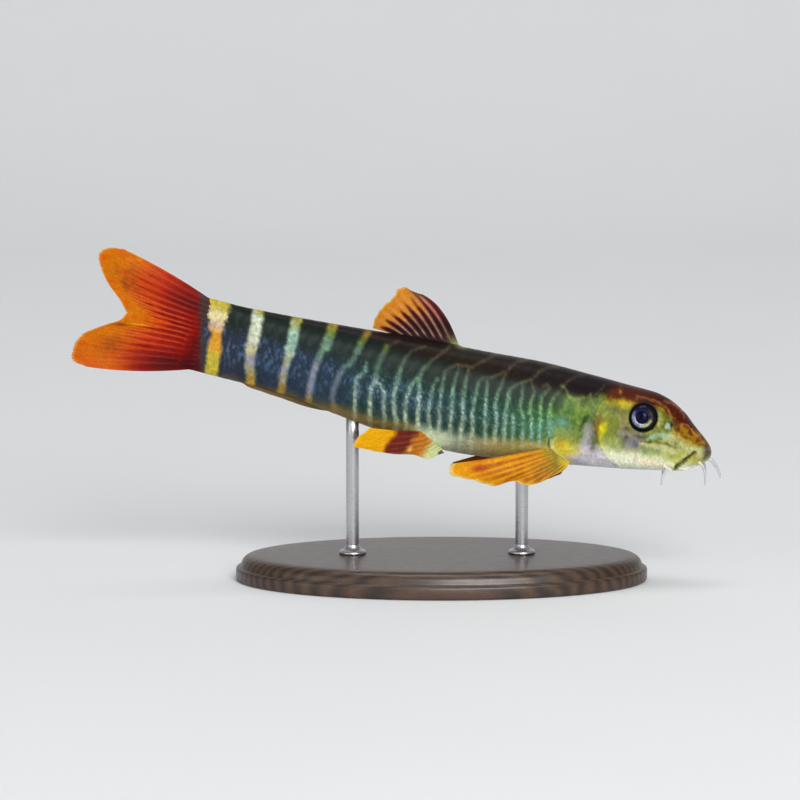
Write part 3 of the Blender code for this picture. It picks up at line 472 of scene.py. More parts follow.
# Each patch: its colour, its centre (s, up), its reach along s and up, and its strength.
# Each stroke: its colour, its line of (s, up), its width and its strength.
HEAD_PATCHES = (
    ("olive_green", (15.6, 1.0), (2.2, 2.6), 0.8),
    ("cheek_green", (15.2, -2.2), (2.0, 1.0), 0.6),
    ("lime", (18.3, 3.2), (1.6, 1.0), 0.7),
    ("yellow", (14.6, 3.85), (1.5, 0.6), 0.95),
    ("olive_dark", (15.8, 3.0), (1.1, 0.5), 0.55),
    ("beige", (14.1, 1.3), (0.55, 1.7), 0.85),
    ("orange_brown", (17.9, 0.0), (0.5, 1.3), 0.85),
    ("bright_yellow", (17.2, -0.1), (0.6, 0.9), 0.95),
    ("yellow", (17.2, -1.9), (0.5, 0.9), 0.55),
    ("cheek_white", (12.0, -4.6), (5.4, 1.3), 0.9),
    ("cheek_green", (9.0, -2.9), (1.6, 0.4), 0.5),
    ("cheek_pink", (9.3, -4.4), (2.6, 0.45), 0.6),
    ("cheek_aqua", (9.5, -6.1), (4.0, 0.6), 0.6),
    ("grey_lilac", (13.2, -0.6), (1.6, 1.0), 0.9),
    ("grey_lilac", (11.2, -0.6), (1.2, 0.6), 0.7),
    ("grey_lilac", (12.4, -2.6), (1.6, 0.6), 0.5),
    ("lavender", (12.0, -1.6), (1.3, 0.8), 0.9),
    ("groove_dark", (10.8, -0.5), (0.8, 0.25), 0.6),
    ("groove_dark", (13.3, -0.9), (0.4, 0.35), 0.6),
    ("groove_dark", (11.7, -1.9), (0.5, 0.3), 0.4),
    ("grey_olive", (13.7, -1.6), (0.6, 0.5), 0.7),
    ("grey_green", (10.1, -2.5), (0.7, 0.4), 0.75),
    ("grey_green", (8.3, -2.35), (0.65, 0.4), 0.75),
    ("groove_brown", (13.5, 0.3), (0.6, 0.25), 0.7),
    ("groove_brown", (11.6, -0.6), (0.9, 0.25), 0.5),
    ("cheek_cream", (6.6, 0.3), (1.3, 0.45), 0.7),
    ("lip_yellow", (5.4, -2.9), (1.3, 1.0), 0.8),
    ("olive_dark", (7.8, 2.9), (0.7, 0.4), 0.8),
    ("lip_yellow", (2.8, -3.2), (1.2, 0.7), 0.7),
    ("amber", (2.3, -2.5), (0.9, 0.5), 0.45),
    ("cheek_cream", (2.0, -1.9), (0.9, 0.6), 0.85),
    # Painted shade on the front face of the snout, below its tip.
    ("snout_shade", (0.7, -1.6), (0.75, 1.4), 0.85),
    ("lilac", (0.5, -1.3), (0.3, 0.35), 0.45),
    ("line_peach", (15.5, 5.6), (0.3, 0.4), 0.7),
)
HEAD_STROKES = (
    ("bar_olive", ((18.2, 5.9), (16.4, 6.4), (15.0, 6.4), (13.0, 6.2)), 0.3, 0.3),
    ("line_orange", ((12.9, 4.6), (12.8, 5.2), (11.8, 5.2), (10.4, 5.0), (9.2, 4.7), (8.4, 4.4), (7.2, 3.5),
                     (6.7, 2.8)), 0.3, 0.75),
    ("line_peach", ((8.4, 5.0), (7.4, 4.9), (6.6, 4.5), (5.7, 3.8), (5.2, 3.0)), 0.26, 0.8),
    ("line_peach", ((5.8, 1.9), (4.7, 2.2), (4.0, 2.0), (3.2, 1.1), (2.3, 0.4), (1.5, -0.3)), 0.26, 0.75),
    ("cheek_cream", ((9.3, 3.8), (8.8, 3.1), (8.8, 2.4), (8.9, 1.4)), 0.5, 0.75),
    ("amber", ((6.5, 0.9), (5.1, 0.1), (3.9, -0.4), (2.7, -0.9)), 0.9, 0.8),
    ("cheek_cream", ((7.6, -0.25), (6.5, -0.3), (5.2, -0.6), (4.0, -0.9), (2.8, -1.2),
      (1.8, -1.6)), 0.6, 0.85),
    # Painted highlight along the ridge above the cheek groove.
    ("turquoise_highlight", ((9.9, -0.5), (9.0, -0.1), (8.1, 0.15), (7.3, 0.3)), 0.8, 0.85),
    ("groove_brown", CHEEK_GROOVE, 0.3, 0.7),
    ("cheek_cream", ((11.0, -1.5), (9.4, -1.65), (7.8, -1.7), (6.4, -2.0), (5.2, -2.4)), 0.6, 0.95),
    ("olive_dark", LIP_FOLD, 1.1, 0.75),
    ("groove_dark", LIP_FOLD, 0.5, 0.8),
    ("cheek_cream", ((5.6, -4.3), (4.9, -3.4), (4.1, -2.6), (3.3, -1.9)), 0.4, 0.5),
)
SHOULDER_PATCHES = (
    ("pale_lime", (23.4, -1.9), (1.8, 1.0), 0.7),
    ("net_lime", (21.3, -2.0), (0.9, 1.3), 0.7),
    ("throat_white", (18.0, -6.1), (4.2, 0.9), 0.7),
    ("gill_maroon", (18.7, -0.3), (0.6, 1.9), 0.85),
    ("throat_lavender", (19.4, -2.2), (0.85, 2.9), 0.95),
    ("bar_white", (19.9, -2.4), (0.3, 2.2), 0.6),
    ("gill_maroon", (18.3, -3.0), (0.3, 1.2), 0.5),
    ("lilac", (20.6, -5.9), (1.6, 0.8), 0.8),
    ("olive_dark", (20.6, 3.3), (0.9, 0.7), 0.6),
    ("lime", (20.6, 2.2), (1.3, 0.6), 0.6),
    ("shoulder_blue", (23.5, -0.2), (1.1, 0.9), 0.85),
    ("shoulder_blue", (25.2, -1.2), (0.8, 1.1), 0.5),
    ("moss", (24.3, 2.2), (0.8, 1.2), 0.4),
    ("pectoral_yellow", (22.8, -4.2), (1.9, 1.7), 0.9),
    ("bar_orange", (23.4, -3.7), (0.6, 0.8), 0.7),
    ("paired_orange", (24.0, -6.3), (1.4, 0.8), 0.7),
)
SHOULDER_STROKES = (
    ("ink_green", ((20.7, -1.1), (20.3, 0.2), (19.8, 1.6)), 0.28, 0.6),
    ("ink_green", ((25.2, -2.9), (25.3, -3.7), (24.9, -4.5), (24.2, -5.3)), 0.25, 0.85),
    ("cheek_cream", ((24.3, -2.6), (24.6, -3.5), (24.3, -4.4), (23.6, -5.1), (22.6, -5.5)), 0.4, 0.7),
    ("net_lime", ((24.6, 5.2), (23.8, 4.4), (23.3, 3.6), (22.5, 3.4), (21.8, 3.5), (20.9, 4.0),
                  (19.8, 4.6)), 0.5, 0.5),
    ("net_lime", ((21.8, 3.5), (21.6, 1.9), (21.3, 0.3), (21.5, -1.2)), 0.6, 0.6),
    ("net_lime", ((23.3, 3.6), (23.7, 2.4), (24.0, 1.0)), 0.5, 0.5),
    ("net_lime", ((19.9, 4.5), (19.4, 3.3), (18.5, 2.4)), 0.5, 0.5),
    ("bar_tan", ((19.2, 4.4), (18.4, 5.7), (17.1, 6.7), (14.9, 7.2)), 0.35, 0.7),
)


def paint_marks(colour, s, up, patches, strokes):
    moved_s = s + 0.22 * ripple(s, up, 1.9, 0.6)
    moved_up = up + 0.16 * ripple(s, up, 1.7, 2.3)
    for name, (centre_s, centre_up), (reach_s, reach_up), strength in patches:
        away = ((moved_s - centre_s) / reach_s) ** 2 + ((moved_up - centre_up) / reach_up) ** 2
        shape = 1 + 0.35 * ripple(s, up, 1.4, reach_s + centre_s)
        colour = mix(colour, (name, strength * np.exp(-away * shape)))
    for name, line, width, strength in strokes:
        distance, along = line_distance(moved_s, moved_up, line)
        half = width / 2 * (1 - 0.4 * np.abs(2 * along - 1) ** 3)
        broken = 0.82 + 0.4 * ripple(s, up, 0.8, width)
        colour = mix(colour, (name, strength * broken * step(half + 0.22, half - 0.2, distance)))
    return colour


def paint_ground(s, up):
    """Flank, back and belly, before any marking."""
    cells = spots(s, 0.35 * up, 0.5, 2.7, -0.1, 0.9) * step(26, 34, s) * bump(up + 1.0, 3.2)
    shoulder = step(25.5, 22, s)
    flank = mix(
        ramp(s + 0.6 * ripple(s, up, 7.0, 0.4), *GROUND),
        ("ink_green", 0.9 * step(0.2, 3.0, up) * step(22.8, 25.4, s)),
        ("sea_green", 0.7 * bump(s - 27.5, 4.0) * bump(up + 1.4, 1.9)),
        ("slate_blue", 0.5 * bump(up + 1.8, 2.2) * step(30, 50, s)),
        ("streak_blue", 0.5 * cells * (0.4 + 0.6 * step(42, 56, s))),
        ("lime", 0.5 * spots(s, up, 1.3, 7.7) * shoulder),
        ("moss", 0.6 * spots(s, up, 1.6, 1.1) * shoulder),
    )
    back_edge = BACK_EDGE(s) + 0.3 * ripple(s, up, 3.1, 1.3)
    belly_edge = BELLY_EDGE(s) + 0.3 * ripple(s, up, 2.4, 2.2)
    colour = blend(flank, ramp(s, *BACK), step(-0.9, 0.7, up - back_edge))
    return blend(colour, ramp(s, *BELLY), step(1.1, -1.1, up - belly_edge))


def tail_bar_colour(s, up):
    """Yellow at both ends, white in the middle and lavender below, and the last bar creamy and orange."""
    plain = ramp(up + 0.5 * ripple(s, up, 2.0, 0.3), (-6.2, "bar_yellow"), (-5.2, "bar_amber"),
                 (-3.8, "tail_beige"), (-2.4, "bar_lavender"), (-0.9, "tail_beige"), (0.8, "tail_white"),
                 (4.2, "tail_white"), (5.2, "bar_yellow"), (5.8, "bar_yellow"), (6.6, "bar_amber"))
    plain = mix(plain, ("bar_aqua", 0.7 * step(70.5, 69.0, s) * bump(up - 2.4, 2.6)))
    green = ramp(up, (-6.2, "bar_amber"), (-4.6, "bar_lavender"), (-1.0, "bar_lavender"), (1.2, "bar_green"),
                 (4.0, "bar_green"), (5.4, "olive_green"), (6.6, "bar_amber"))
    last = ramp(up, (-3.2, "bar_yellow"), (-1.8, "bar_orange"), (0.3, "bar_orange"), (1.3, "bar_pink"),
                (2.5, "bar_cream"), (3.4, "bar_cream"), (4.3, "bar_yellow"))
    return blend(blend(plain, green, step(66.5, 62.5, s)), last, step(75.5, 77.0, s))


def front_bar_colour(s, up):
    flank = ramp(up, (-5.5, "belly_white"), (-3.0, "bar_white"), (-1.0, "bar_frost"), (1.8, "bar_green"),
                 (3.5, "bar_green"), (4.8, "bar_olive"), (6.4, "bar_tan"))
    shoulder = ramp(up, (-5.5, "belly_white"), (-3.6, "bar_frost"), (-1.6, "bar_aqua"), (0.8, "bar_lime"),
                    (3.0, "bar_lime"), (4.4, "bar_olive"), (6.0, "bar_tan"))
    return blend(flank, shoulder, step(34, 25, s))


def bar_strength(s, up, line, width, strength, softness):
    distance, _ = line_distance(s, up, line)
    half = width / 2 * (1 + 0.14 * ripple(s, up, 1.1, strength))
    return strength * step(half + softness, half - softness, distance)


def paint_bars(colour, s, up):
    front = np.zeros(np.shape(s))
    slim = 1 - 0.35 * step(2.5, 5.0, up)
    for line, width, strength in FRONT_BARS:
        end_s, end_up = line[-1]
        if end_up < 0:
            line = (*line, (end_s - 0.3, end_up - 1.8))
        bar = bar_strength(s, up, line, width * slim, strength, 0.22)
        glow = bar_strength(s, up, line, width + 0.6, 0.35 * strength, 0.4) * bump(up + 1.6, 3.0)
        front = np.maximum(front, np.maximum(bar, glow))
    front *= (0.88 + 0.26 * ripple(s, up, 0.6, 0.9)) * (1 - 0.4 * step(1.2, 3.8, up))
    front *= 1 - 0.5 * step(0.8, -1.0, up - BELLY_EDGE(s))
    flank = bump(up + 0.8, 3.4) * step(22, 25, s) * step(62, 52, s)
    # Small pale specks, painted glints, strongest on the bars.
    glint_specks = spots(s, 0.6 * up, 0.34, 6.6, 0.25, 0.95) * flank
    colour = mix(
        blend(colour, front_bar_colour(s, up), front),
        ("speck_glint", glint_specks * (0.2 + 0.4 * np.clip(front, 0, 1))),
        ("ink_green", 0.4 * spots(s, 0.7 * up, 0.4, 3.9, 0.2, 0.9) * flank),
    )
    bars = [bar_strength(s, up, line, width, strength, 0.34) for line, width, strength in TAIL_BARS]
    tail = np.max(bars, axis=0) * (0.92 + 0.12 * ripple(s, up, 0.8, 2.9))
    return blend(colour, tail_bar_colour(s, up), tail)


def paint_head(colour, s, up):
    """The head's own ground, patches and lines, which fade out behind the gill cover."""
    cap = step(-0.4, 0.4, up - CAP_EDGE(s) - 0.25 * ripple(s, up, 1.2, 0.7))
    snout = cap * step(7.0, 5.6, s) * step(2.0, 1.0, up - CAP_EDGE(s))
    head = mix(
        ramp(up, (-6.4, "throat_white"), (-5.2, "cheek_white"), (-4.0, "cheek_white"), (-3.0, "cheek_cream"),
             (-1.8, "cheek_green"), (-0.2, "olive_green"), (3.2, "olive_green"), (4.4, "amber")),
        ("cheek_cream", 0.6 * step(-3.0, -1.5, up) * step(1.6, 0.2, up) * step(9.5, 7.5, s)),
        ("cheek_cream", 0.5 * spots(s, up, 0.9, 5.1) * step(4.2, 3.0, up)),
        ("olive_dark", 0.5 * spots(s, up, 1.1, 8.3) * step(-3.0, -0.5, up)),
        ("cap_red", cap),
        ("cap_brown", cap * bump(s - 9.5, 2.2)),
        ("cap_orange", snout),
        ("cap_brown", 0.6 * snout * spots(s, up, 1.3, 4.4, 0.0, 0.6)),
        ("cap_dark", step(-0.35, 0.45, up - TOP_EDGE(s) - 0.2 * ripple(s, up, 2.3, 3.3))),
    )
    head = paint_marks(head, s, up, HEAD_PATCHES, HEAD_STROKES)
    low = step(0.6, -0.6, s - GILL_LINE(up) + 0.5 * ripple(s, up, 2.2, 5.5)) * step(4.8, 3.8, up)
    high = step(18.8, 16.8, s + 0.3 * ripple(s, up, 1.8, 0.2)) * step(2.0, 3.2, up)
    return blend(colour, head, np.maximum(low, high))


def paint_gill(colour, s, up):
    """The skin behind the gill cover, the dark slit, and the yellow patch above the pectoral fin."""
    colour = paint_marks(colour, s, up, SHOULDER_PATCHES, SHOULDER_STROKES)
    slit = bump(s - GILL_LINE(up), 0.2) * step(3.0, 2.2, up) * step(-3.4, -2.0, up)
    return mix(colour, ("groove_brown", 0.35 * slit))


def paint_fin_roots(colour, s, side, up):
    """Dark muscle along the dorsal fin, the pale spot in front of it, and the tail fin's root."""
    root = TAIL_EDGE(up) + 0.15 * ripple(s, up, 1.6, 4.4)
    colour = mix(
        colour,
        ("back_plum", 0.5 * bump(side, 1.1) * step(6.2, 7.0, up) * bump(s - 46.5, 5.0)),
        ("pale_lime", 0.8 * bump(side, 1.3) * bump(s - 41.4, 1.2) * step(6.4, 7.2, up)),
        ("root_grey", 0.85 * step(-1.1 - 0.05 * up, -0.5, s - root)),
    )
    across = tail_across(s, up)
    fin = paint_caudal((s - CAUDAL_BASE_S) / CAUDAL_REACH, across, root_rays(across), s, up)
    return blend(colour, fin, step(-0.4, 0.3, s - root))


def root_rays(across):
    """The tail fin's rays as they are near its root, before they part."""
    return ray_pattern(np.full(np.shape(across), 0.1), across, CAUDAL_RAYS)


def tail_across(s, up):
    """Where across the tail fin, from its top 0 to its bottom 1, a place on the skin's end lies."""
    height = (up - FORK_UP) / (1 + 0.06 * np.maximum(s - CAUDAL_BASE_S, 0))
    upper = 0.5 - 0.5 * height / (UPPER_LOBE_BASE[0][2] - FORK_UP)
    lower = 0.5 + 0.5 * height / (LOWER_LOBE_BASE[1][2] - FORK_UP)
    return np.clip(np.where(height > 0, upper, lower), 0, 1)


def eye_axis(sign):
    """Each eye's centre and outward axis, in (s, side, up)."""
    tilt = math.radians(EYE_TILT)
    return np.array([EYE_S, sign * EYE_SIDE, EYE_UP]), np.array([0.0, sign * math.cos(tilt), math.sin(tilt)])


def skin_colour(places):
    s, side, up = np.moveaxis(places, -1, 0)
    colour = paint_ground(s, up)
    colour = paint_bars(colour, s, up)
    colour = paint_gill(colour, s, up)
    colour = paint_head(colour, s, up)
    colour = paint_fin_roots(colour, s, side, up)
    flank = np.abs(side) > 2.0
    ring = np.hypot(s - EYE_S, up - EYE_UP - 0.18)
    flap = np.hypot((s - FRONT_NOSTRIL[0]) / 0.48, (up - FRONT_NOSTRIL[1]) / 0.52)
    flap = flap * (1 + 0.25 * ripple(s, up, 0.9, 9.0))
    hole = np.hypot(s - NOSTRIL_HOLE[0], up - NOSTRIL_HOLE[1])
    colour = mix(
        colour,
        ("orbit_dark", step(2.34, 2.1, ring) * flank),
        ("cap_dark", 0.5 * step(0.6, 1.8, up - EYE_UP) * step(2.75, 2.2, ring) * flank),
        # Painted shadow round the nostril flap.
        ("olive_dark", 0.6 * bump(flap - 1.3, 0.4)),
        ("nostril_pale", 0.95 * step(1.15, 0.8, flap)),
        ("ink_green", 0.8 * bump(hole, 0.26)),
    )
    # Painted shade: the upper head is darkened, fading out behind the gill cover; a faint random tone varies
    # the whole skin.
    shade = (1 - 0.17 * step(27, 19, s) * step(-4.6, -2.4, up)) * (1 + 0.05 * ripple(s, up, 0.8, 4.0))
    return linear(colour * shade[..., None])


# The skin's relief

def mouth_relief(s, turn):
    """Lips round the horseshoe of the mouth. turn is degrees from straight down."""
    bow = (np.abs(turn) / MOUTH_SPREAD) ** 1.6
    back = s - (MOUTH_FRONT + (MOUTH_CORNER - MOUTH_FRONT) * bow)
    shown = step(MOUTH_SPREAD + 9, MOUTH_SPREAD - 3, np.abs(turn))
    notch = 1 - 0.75 * bump(turn, 4.5)
    furrows = 1 + 0.12 * np.sin(turn * 0.9) * bump(back, 1.2)
    out = 0.30 * bump(back + LIP_OFFSET, 0.36) + 0.28 * bump(back - LIP_OFFSET, 0.34) * notch
    slit = 0.42 * bump(back, 0.15) + 0.1 * bump(back - 1.25, 0.25) + 0.1 * bump(back + 1.2, 0.22)
    return (out * furrows - slit) * shown


def head_relief(s, side, up):
    flank = step(0.8, 1.8, np.abs(side))
    fold, _ = line_distance(s, up, LIP_FOLD)
    bulge, _ = line_distance(s - 0.35, up - 0.35, LIP_FOLD)
    groove, _ = line_distance(s, up, CHEEK_GROOVE)
    flap = np.hypot((s - FRONT_NOSTRIL[0]) / 0.34, (up - FRONT_NOSTRIL[1]) / 0.55)
    hole = np.hypot(s - NOSTRIL_HOLE[0], up - NOSTRIL_HOLE[1])
    pit = np.hypot(s - REAR_NOSTRIL[0], up - REAR_NOSTRIL[1])
    out = (0.10 * bump(bulge, 0.3) - 0.13 * bump(fold, 0.22) - 0.13 * bump(groove, 0.2)) * flank
    out += 0.30 * bump(flap, 0.95) - 0.35 * bump(hole, 0.26)
    return out + 0.04 * bump(pit - 0.4, 0.18) - 0.25 * bump(pit, 0.2)


def gill_relief(s, up):
    """The gill cover stands proud of the skin behind it, and the shoulder stands behind that."""
    flank = step(4.6, 3.6, up) * step(-7.1, -6.2, up)
    behind = s - GILL_LINE(up)
    cover = np.where(behind < 0, 0.13 * bump(behind, 1.6), -0.09 * bump(behind, 0.8))
    seam = s - SHOULDER_LINE(up)
    shoulder = 0.10 * bump(seam - 0.7, 0.6) - 0.16 * bump(seam, 0.25)
    return flank * (cover * (0.35 + 0.65 * step(-4.5, -1.5, up)) + shoulder * step(2.6, 1.8, up))


def body_relief(s, side, up):
    """Faint muscle blocks, the lateral line, muscle under the dorsal fin and rays under the tail's skin."""
    chevron = s + 0.45 * np.abs(np.abs(up + 0.4) - 2.6)
    blocks = step(21, 26, s) * step(81, 77, s)
    out = (0.010 * np.sin(chevron * 2 * math.pi / 1.75) - 0.035 * bump(up + 0.45, 0.16)) * blocks
    out += 0.22 * bump(side, 0.9) * step(5.5, 6.6, up) * step(40.8, 42.0, s) * step(53.4, 51.6, s)
    return out + 0.07 * root_rays(tail_across(s, up)) * step(80.6, 82.4, s)


def eye_socket(places, sign):
    """Draws the skin to a round rim on the eyeball, and sinks it inside the rim."""
    centre, axis = eye_axis(sign)
    rel = places - centre
    along = rel @ axis
    away = np.linalg.norm(rel - along[..., None] * axis, axis=-1)
    rim_height = math.sqrt(EYE_RADIUS ** 2 - EYE_OPENING ** 2)
    reach = step(EYE_OPENING + EYE_RIM_REACH, EYE_OPENING + 0.05, away)
    rim = rim_height + 0.10 * bump(away - EYE_OPENING - 0.22, 0.2)
    target = np.where(away > EYE_OPENING, rim, rim_height - 1.3 * (EYE_OPENING - away))
    near = (along > 0) & (away < EYE_OPENING + EYE_RIM_REACH)
    shift = np.where(near, (target - along) * reach, 0.0)
    return places + shift[..., None] * axis


SNOUT_RINGS = 26
HEAD_RINGS = (1.085, 21.0, 0.094)  # the first, where they end, and the step between them
TRUNK_RINGS = 238
AROUND = 204
FINE_ANGLES = np.linspace(-90, 270, 721)


def ring_places():
    """Where the skin's rings lie: close together on the snout and the head."""
    snout = np.linspace(0.1, 1.0, SNOUT_RINGS) ** 2
    trunk = np.linspace(HEAD_RINGS[1], SKIN_END, TRUNK_RINGS)
    return np.concatenate([snout, np.arange(*HEAD_RINGS), trunk])


def ring(s):
    """One ring of skin places, evenly spaced round the body from the keel."""
    fine = skin_place(np.full(len(FINE_ANGLES), s), FINE_ANGLES)
    lengths = np.linalg.norm(np.diff(fine[:, 1:], axis=0), axis=1)
    along = np.concatenate([[0.0], np.cumsum(lengths)])
    even = np.linspace(0, along[-1], AROUND, endpoint=False)
    return np.stack([np.interp(even, along, fine[:, axis]) for axis in range(3)], axis=1)


def grid_normals(points):
    """Unit normals of a grid that closes on itself across its columns."""
    down = np.gradient(points, axis=0)
    across = np.roll(points, -1, axis=1) - np.roll(points, 1, axis=1)
    return unit(np.cross(across, down))


def skin_points():
    """The skin's places before relief, and its world points with it."""
    places = np.array([ring(s) for s in ring_places()])
    flat = world(places)
    outward = grid_normals(flat)
    middle = flat.mean(axis=1, keepdims=True)
    if np.sum(outward * (flat - middle)) < 0:
        outward = -outward
    s, side, up = np.moveaxis(places, -1, 0)
    turn = np.degrees(np.arctan2(side, -(up - WAIST(s))))
    out = mouth_relief(s, turn) + head_relief(s, side, up) + gill_relief(s, up) + body_relief(s, side, up)
    moved = places
    for sign in (1, -1):
        moved = eye_socket(moved, sign)
    return places, world(moved) + outward * (out * step(0.0, 0.5, s))[..., None] * MM


# Meshes

def set_paint(mesh, colours):
    attribute = mesh.attributes.new("paint", "FLOAT_COLOR", "POINT")
    rgba = np.concatenate([colours, np.ones((len(colours), 1))], axis=1)
    attribute.data.foreach_set("color", rgba.astype(np.float32).ravel())


def add_object(name, mesh, finish):
    obj = bpy.data.objects.new(name, mesh)
    bpy.context.scene.collection.objects.link(obj)
    mesh.materials.append(finish)
    mesh.shade_smooth()
    return obj


def mesh_of(name, points, faces):
    mesh = bpy.data.meshes.new(name)
    mesh.from_pydata(np.asarray(points).tolist(), [], faces)
    mesh.update()
    return mesh


def orient(mesh):
    bm = bmesh.new()
    bm.from_mesh(mesh)
    bmesh.ops.recalc_face_normals(bm, faces=bm.faces)
    bm.to_mesh(mesh)
    bm.free()


def closed_tube(name, rings, ends=None):
    """A mesh of rings with a point at each end, in the end ring's middle if it isn't told."""
    rows, columns = rings.shape[:2]
    count = rows * columns
    i, j = np.meshgrid(np.arange(rows - 1), np.arange(columns), indexing="ij")
    a, b = i * columns + j, i * columns + (j + 1) % columns
    faces = np.stack([a, b, b + columns, a + columns], axis=-1).reshape(-1, 4).tolist()
    for j in range(columns):
        k = (j + 1) % columns
        faces.append([count, k, j])
        faces.append([count + 1, count - columns + j, count - columns + k])
    if ends is None:
        ends = [rings[0].mean(axis=0), rings[-1].mean(axis=0)]
    mesh = mesh_of(name, np.concatenate([rings.reshape(-1, 3), ends]), faces)
    orient(mesh)
    return mesh


def paint_tube(mesh, colours):
    """Paints a closed tube's rings, and its two ends as the first and the last place."""
    colours = colours.reshape(-1, 3)
    set_paint(mesh, np.concatenate([colours, colours[:1], colours[-1:]]))


def make_skin(finish):
    places, points = skin_points()
    tip = world((-0.02, 0, WAIST(0.0)))
    mesh = closed_tube("skin", points, [tip, points[-1].mean(axis=0)])
    paint_tube(mesh, skin_colour(places))
    add_skin_map(mesh, *points.shape[:2])
    skin = add_object("skin", mesh, finish)
    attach(skin, "root")
    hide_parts("head", "trunk_front", "trunk_rear", "caudal_peduncle")


def add_skin_map(mesh, rows, columns):
    """Unrolls the skin into a flat map, with its one seam along the keel."""
    count = rows * columns
    loops = np.zeros(len(mesh.loops), np.int32)
    mesh.loops.foreach_get("vertex_index", loops)
    starts = np.zeros(len(mesh.polygons), np.int32)
    mesh.polygons.foreach_get("loop_start", starts)
    sizes = np.diff(np.append(starts, len(loops)))
    face = np.repeat(np.arange(len(starts)), sizes)
    row = np.where(loops == count, 0, np.where(loops == count + 1, rows - 1, loops // columns))
    column = np.where(loops >= count, 0, loops % columns).astype(float)
    highest = np.zeros(len(starts))
    np.maximum.at(highest, face, column)
    column = np.where((column < 2) & (highest[face] > columns / 2), column + columns, column)
    flat = np.stack([column / (columns + 2) + 0.002, row / (rows + 2) + 0.002], axis=1)
    layer = mesh.uv_layers.new(name="OFBake")
    layer.data.foreach_set("uv", flat.astype(np.float32).ravel())


# Fins

def lobe_lines(lobes, columns):
    """The base, middle and margin lines across a fin of one or more lobes, with that many points in each."""
    count = (columns - 1) // len(lobes) + 1
    parts = [[smooth_line(line, count) for line in lobe] for lobe in lobes]
    return [np.concatenate([parts[0][i]] + [part[i][1:] for part in parts[1:]]) for i in range(3)]


def fin_places(base, middle, margin, reach):
    """A fin's middle surface as places, each point as far from root to margin as reach says."""
    reach = reach[..., None]
    inside = base + reach * (4 * middle - 3 * base - margin)
    outside = (1 - reach) * (1 - 2 * reach) * base + 4 * reach * (1 - reach) * middle
    outside = outside + reach * (2 * reach - 1) * margin
    return np.where(reach < 0, inside, outside)


def ray_pattern(reach, across, rays, parting=1.0):
    """How much of a ray is at each point, from 0 to 1. Rays part in two, then in four towards the margin."""
    spot = across * (rays - 1)
    nearest = np.round(spot)
    offset = spot - nearest
    first = 0.24 * parting * step(0.30, 0.72, reach)
    second = 0.11 * parting * step(0.62, 0.95, reach)
    soft = (nearest > 0) & (nearest < rays - 1)
    width = 0.20 - (0.13 * parting - 0.03) * np.clip(reach, 0, 1)
    branches = [np.where(soft, a * first + b * second, 0.0) for a in (-1, 1) for b in (-1, 1)]
    return np.max([bump(offset - branch, width) for branch in branches], axis=0)


CAUDAL_RAYS = 17
DORSAL_RAYS = 9
ANAL_RAYS = 7
PECTORAL_RAYS = 10
PELVIC_RAYS = 8
DORSAL_PARTING = 0.3  # how far its rays part, for the tail fin's 1
PAIRED_PARTING = 0.4
FIN_ROWS = 84
RAY_COLUMNS = 18
FIN_SUNK = 0.12  # how far a fin's root goes into the body, as a share of the fin's reach
MEMBRANE = 0.16
RAY_HEIGHT = 0.22
RAY_JOINTS = 46
FIN_WAVE = 0.1
ROOT_SWELL = 0.62  # what the tail fin's root adds to its half thickness, to cover the skin's end
SCALLOP = 0.012  # how far the membrane stays back between the rays, as a share of the fin's reach


def fin_grid(lobes, rays, parting):
    columns = (rays - 1) * RAY_COLUMNS + 1
    reach = np.linspace(-FIN_SUNK, 1, FIN_ROWS)[:, None] + np.zeros((1, columns))
    across = np.linspace(0, 1, columns)[None, :] + np.zeros((FIN_ROWS, 1))
    ray = ray_pattern(reach, across, rays, parting)
    pulled = reach * (1 - SCALLOP * (1 - ray[-1:]) * np.clip(reach, 0, 1) ** 6)
    return fin_places(*lobe_lines(lobes, columns), pulled), reach, across, ray


def plate_faces(rows, columns):
    """Faces of a thin closed plate: front, back and the border between them."""
    count = rows * columns
    i, j = np.meshgrid(np.arange(rows - 1), np.arange(columns - 1), indexing="ij")
    a = (i * columns + j).reshape(-1)
    front = np.stack([a, a + 1, a + 1 + columns, a + columns], axis=1)
    back = front[:, ::-1] + count
    loop = list(range(columns)) + [r * columns + columns - 1 for r in range(1, rows)]
    loop += list(range(count - 2, count - columns - 1, -1)) + [r * columns for r in range(rows - 2, 0, -1)]
    border = [(a, b, b + count, a + count) for a, b in zip(loop, loop[1:] + loop[:1])]
    return front.tolist() + back.tolist() + border


def fin_half_thickness(reach, across, ray, swell):
    """Half the fin's thickness: membrane and jointed rays, thin at the border and swollen at the root."""
    clipped = np.clip(reach, 0, 1)
    joints = 1 + 0.10 * np.sin(reach * 2 * math.pi * RAY_JOINTS) * step(0.15, 0.35, reach)
    thickness = MEMBRANE * (1 - 0.55 * clipped) + RAY_HEIGHT * (1 - 0.85 * clipped) * ray * joints
    border = np.minimum(1, 14 * np.minimum(across, 1 - across) + 0.45) * np.minimum(1, 10 * (1 - reach) + 0.3)
    rounded = np.sqrt(np.maximum(1 - (2 * across - 1) ** 2, 0))
    return thickness * border / 2 + 0.02 + swell * rounded * step(-0.08, 0.0, reach) * step(0.22, 0.0, reach)


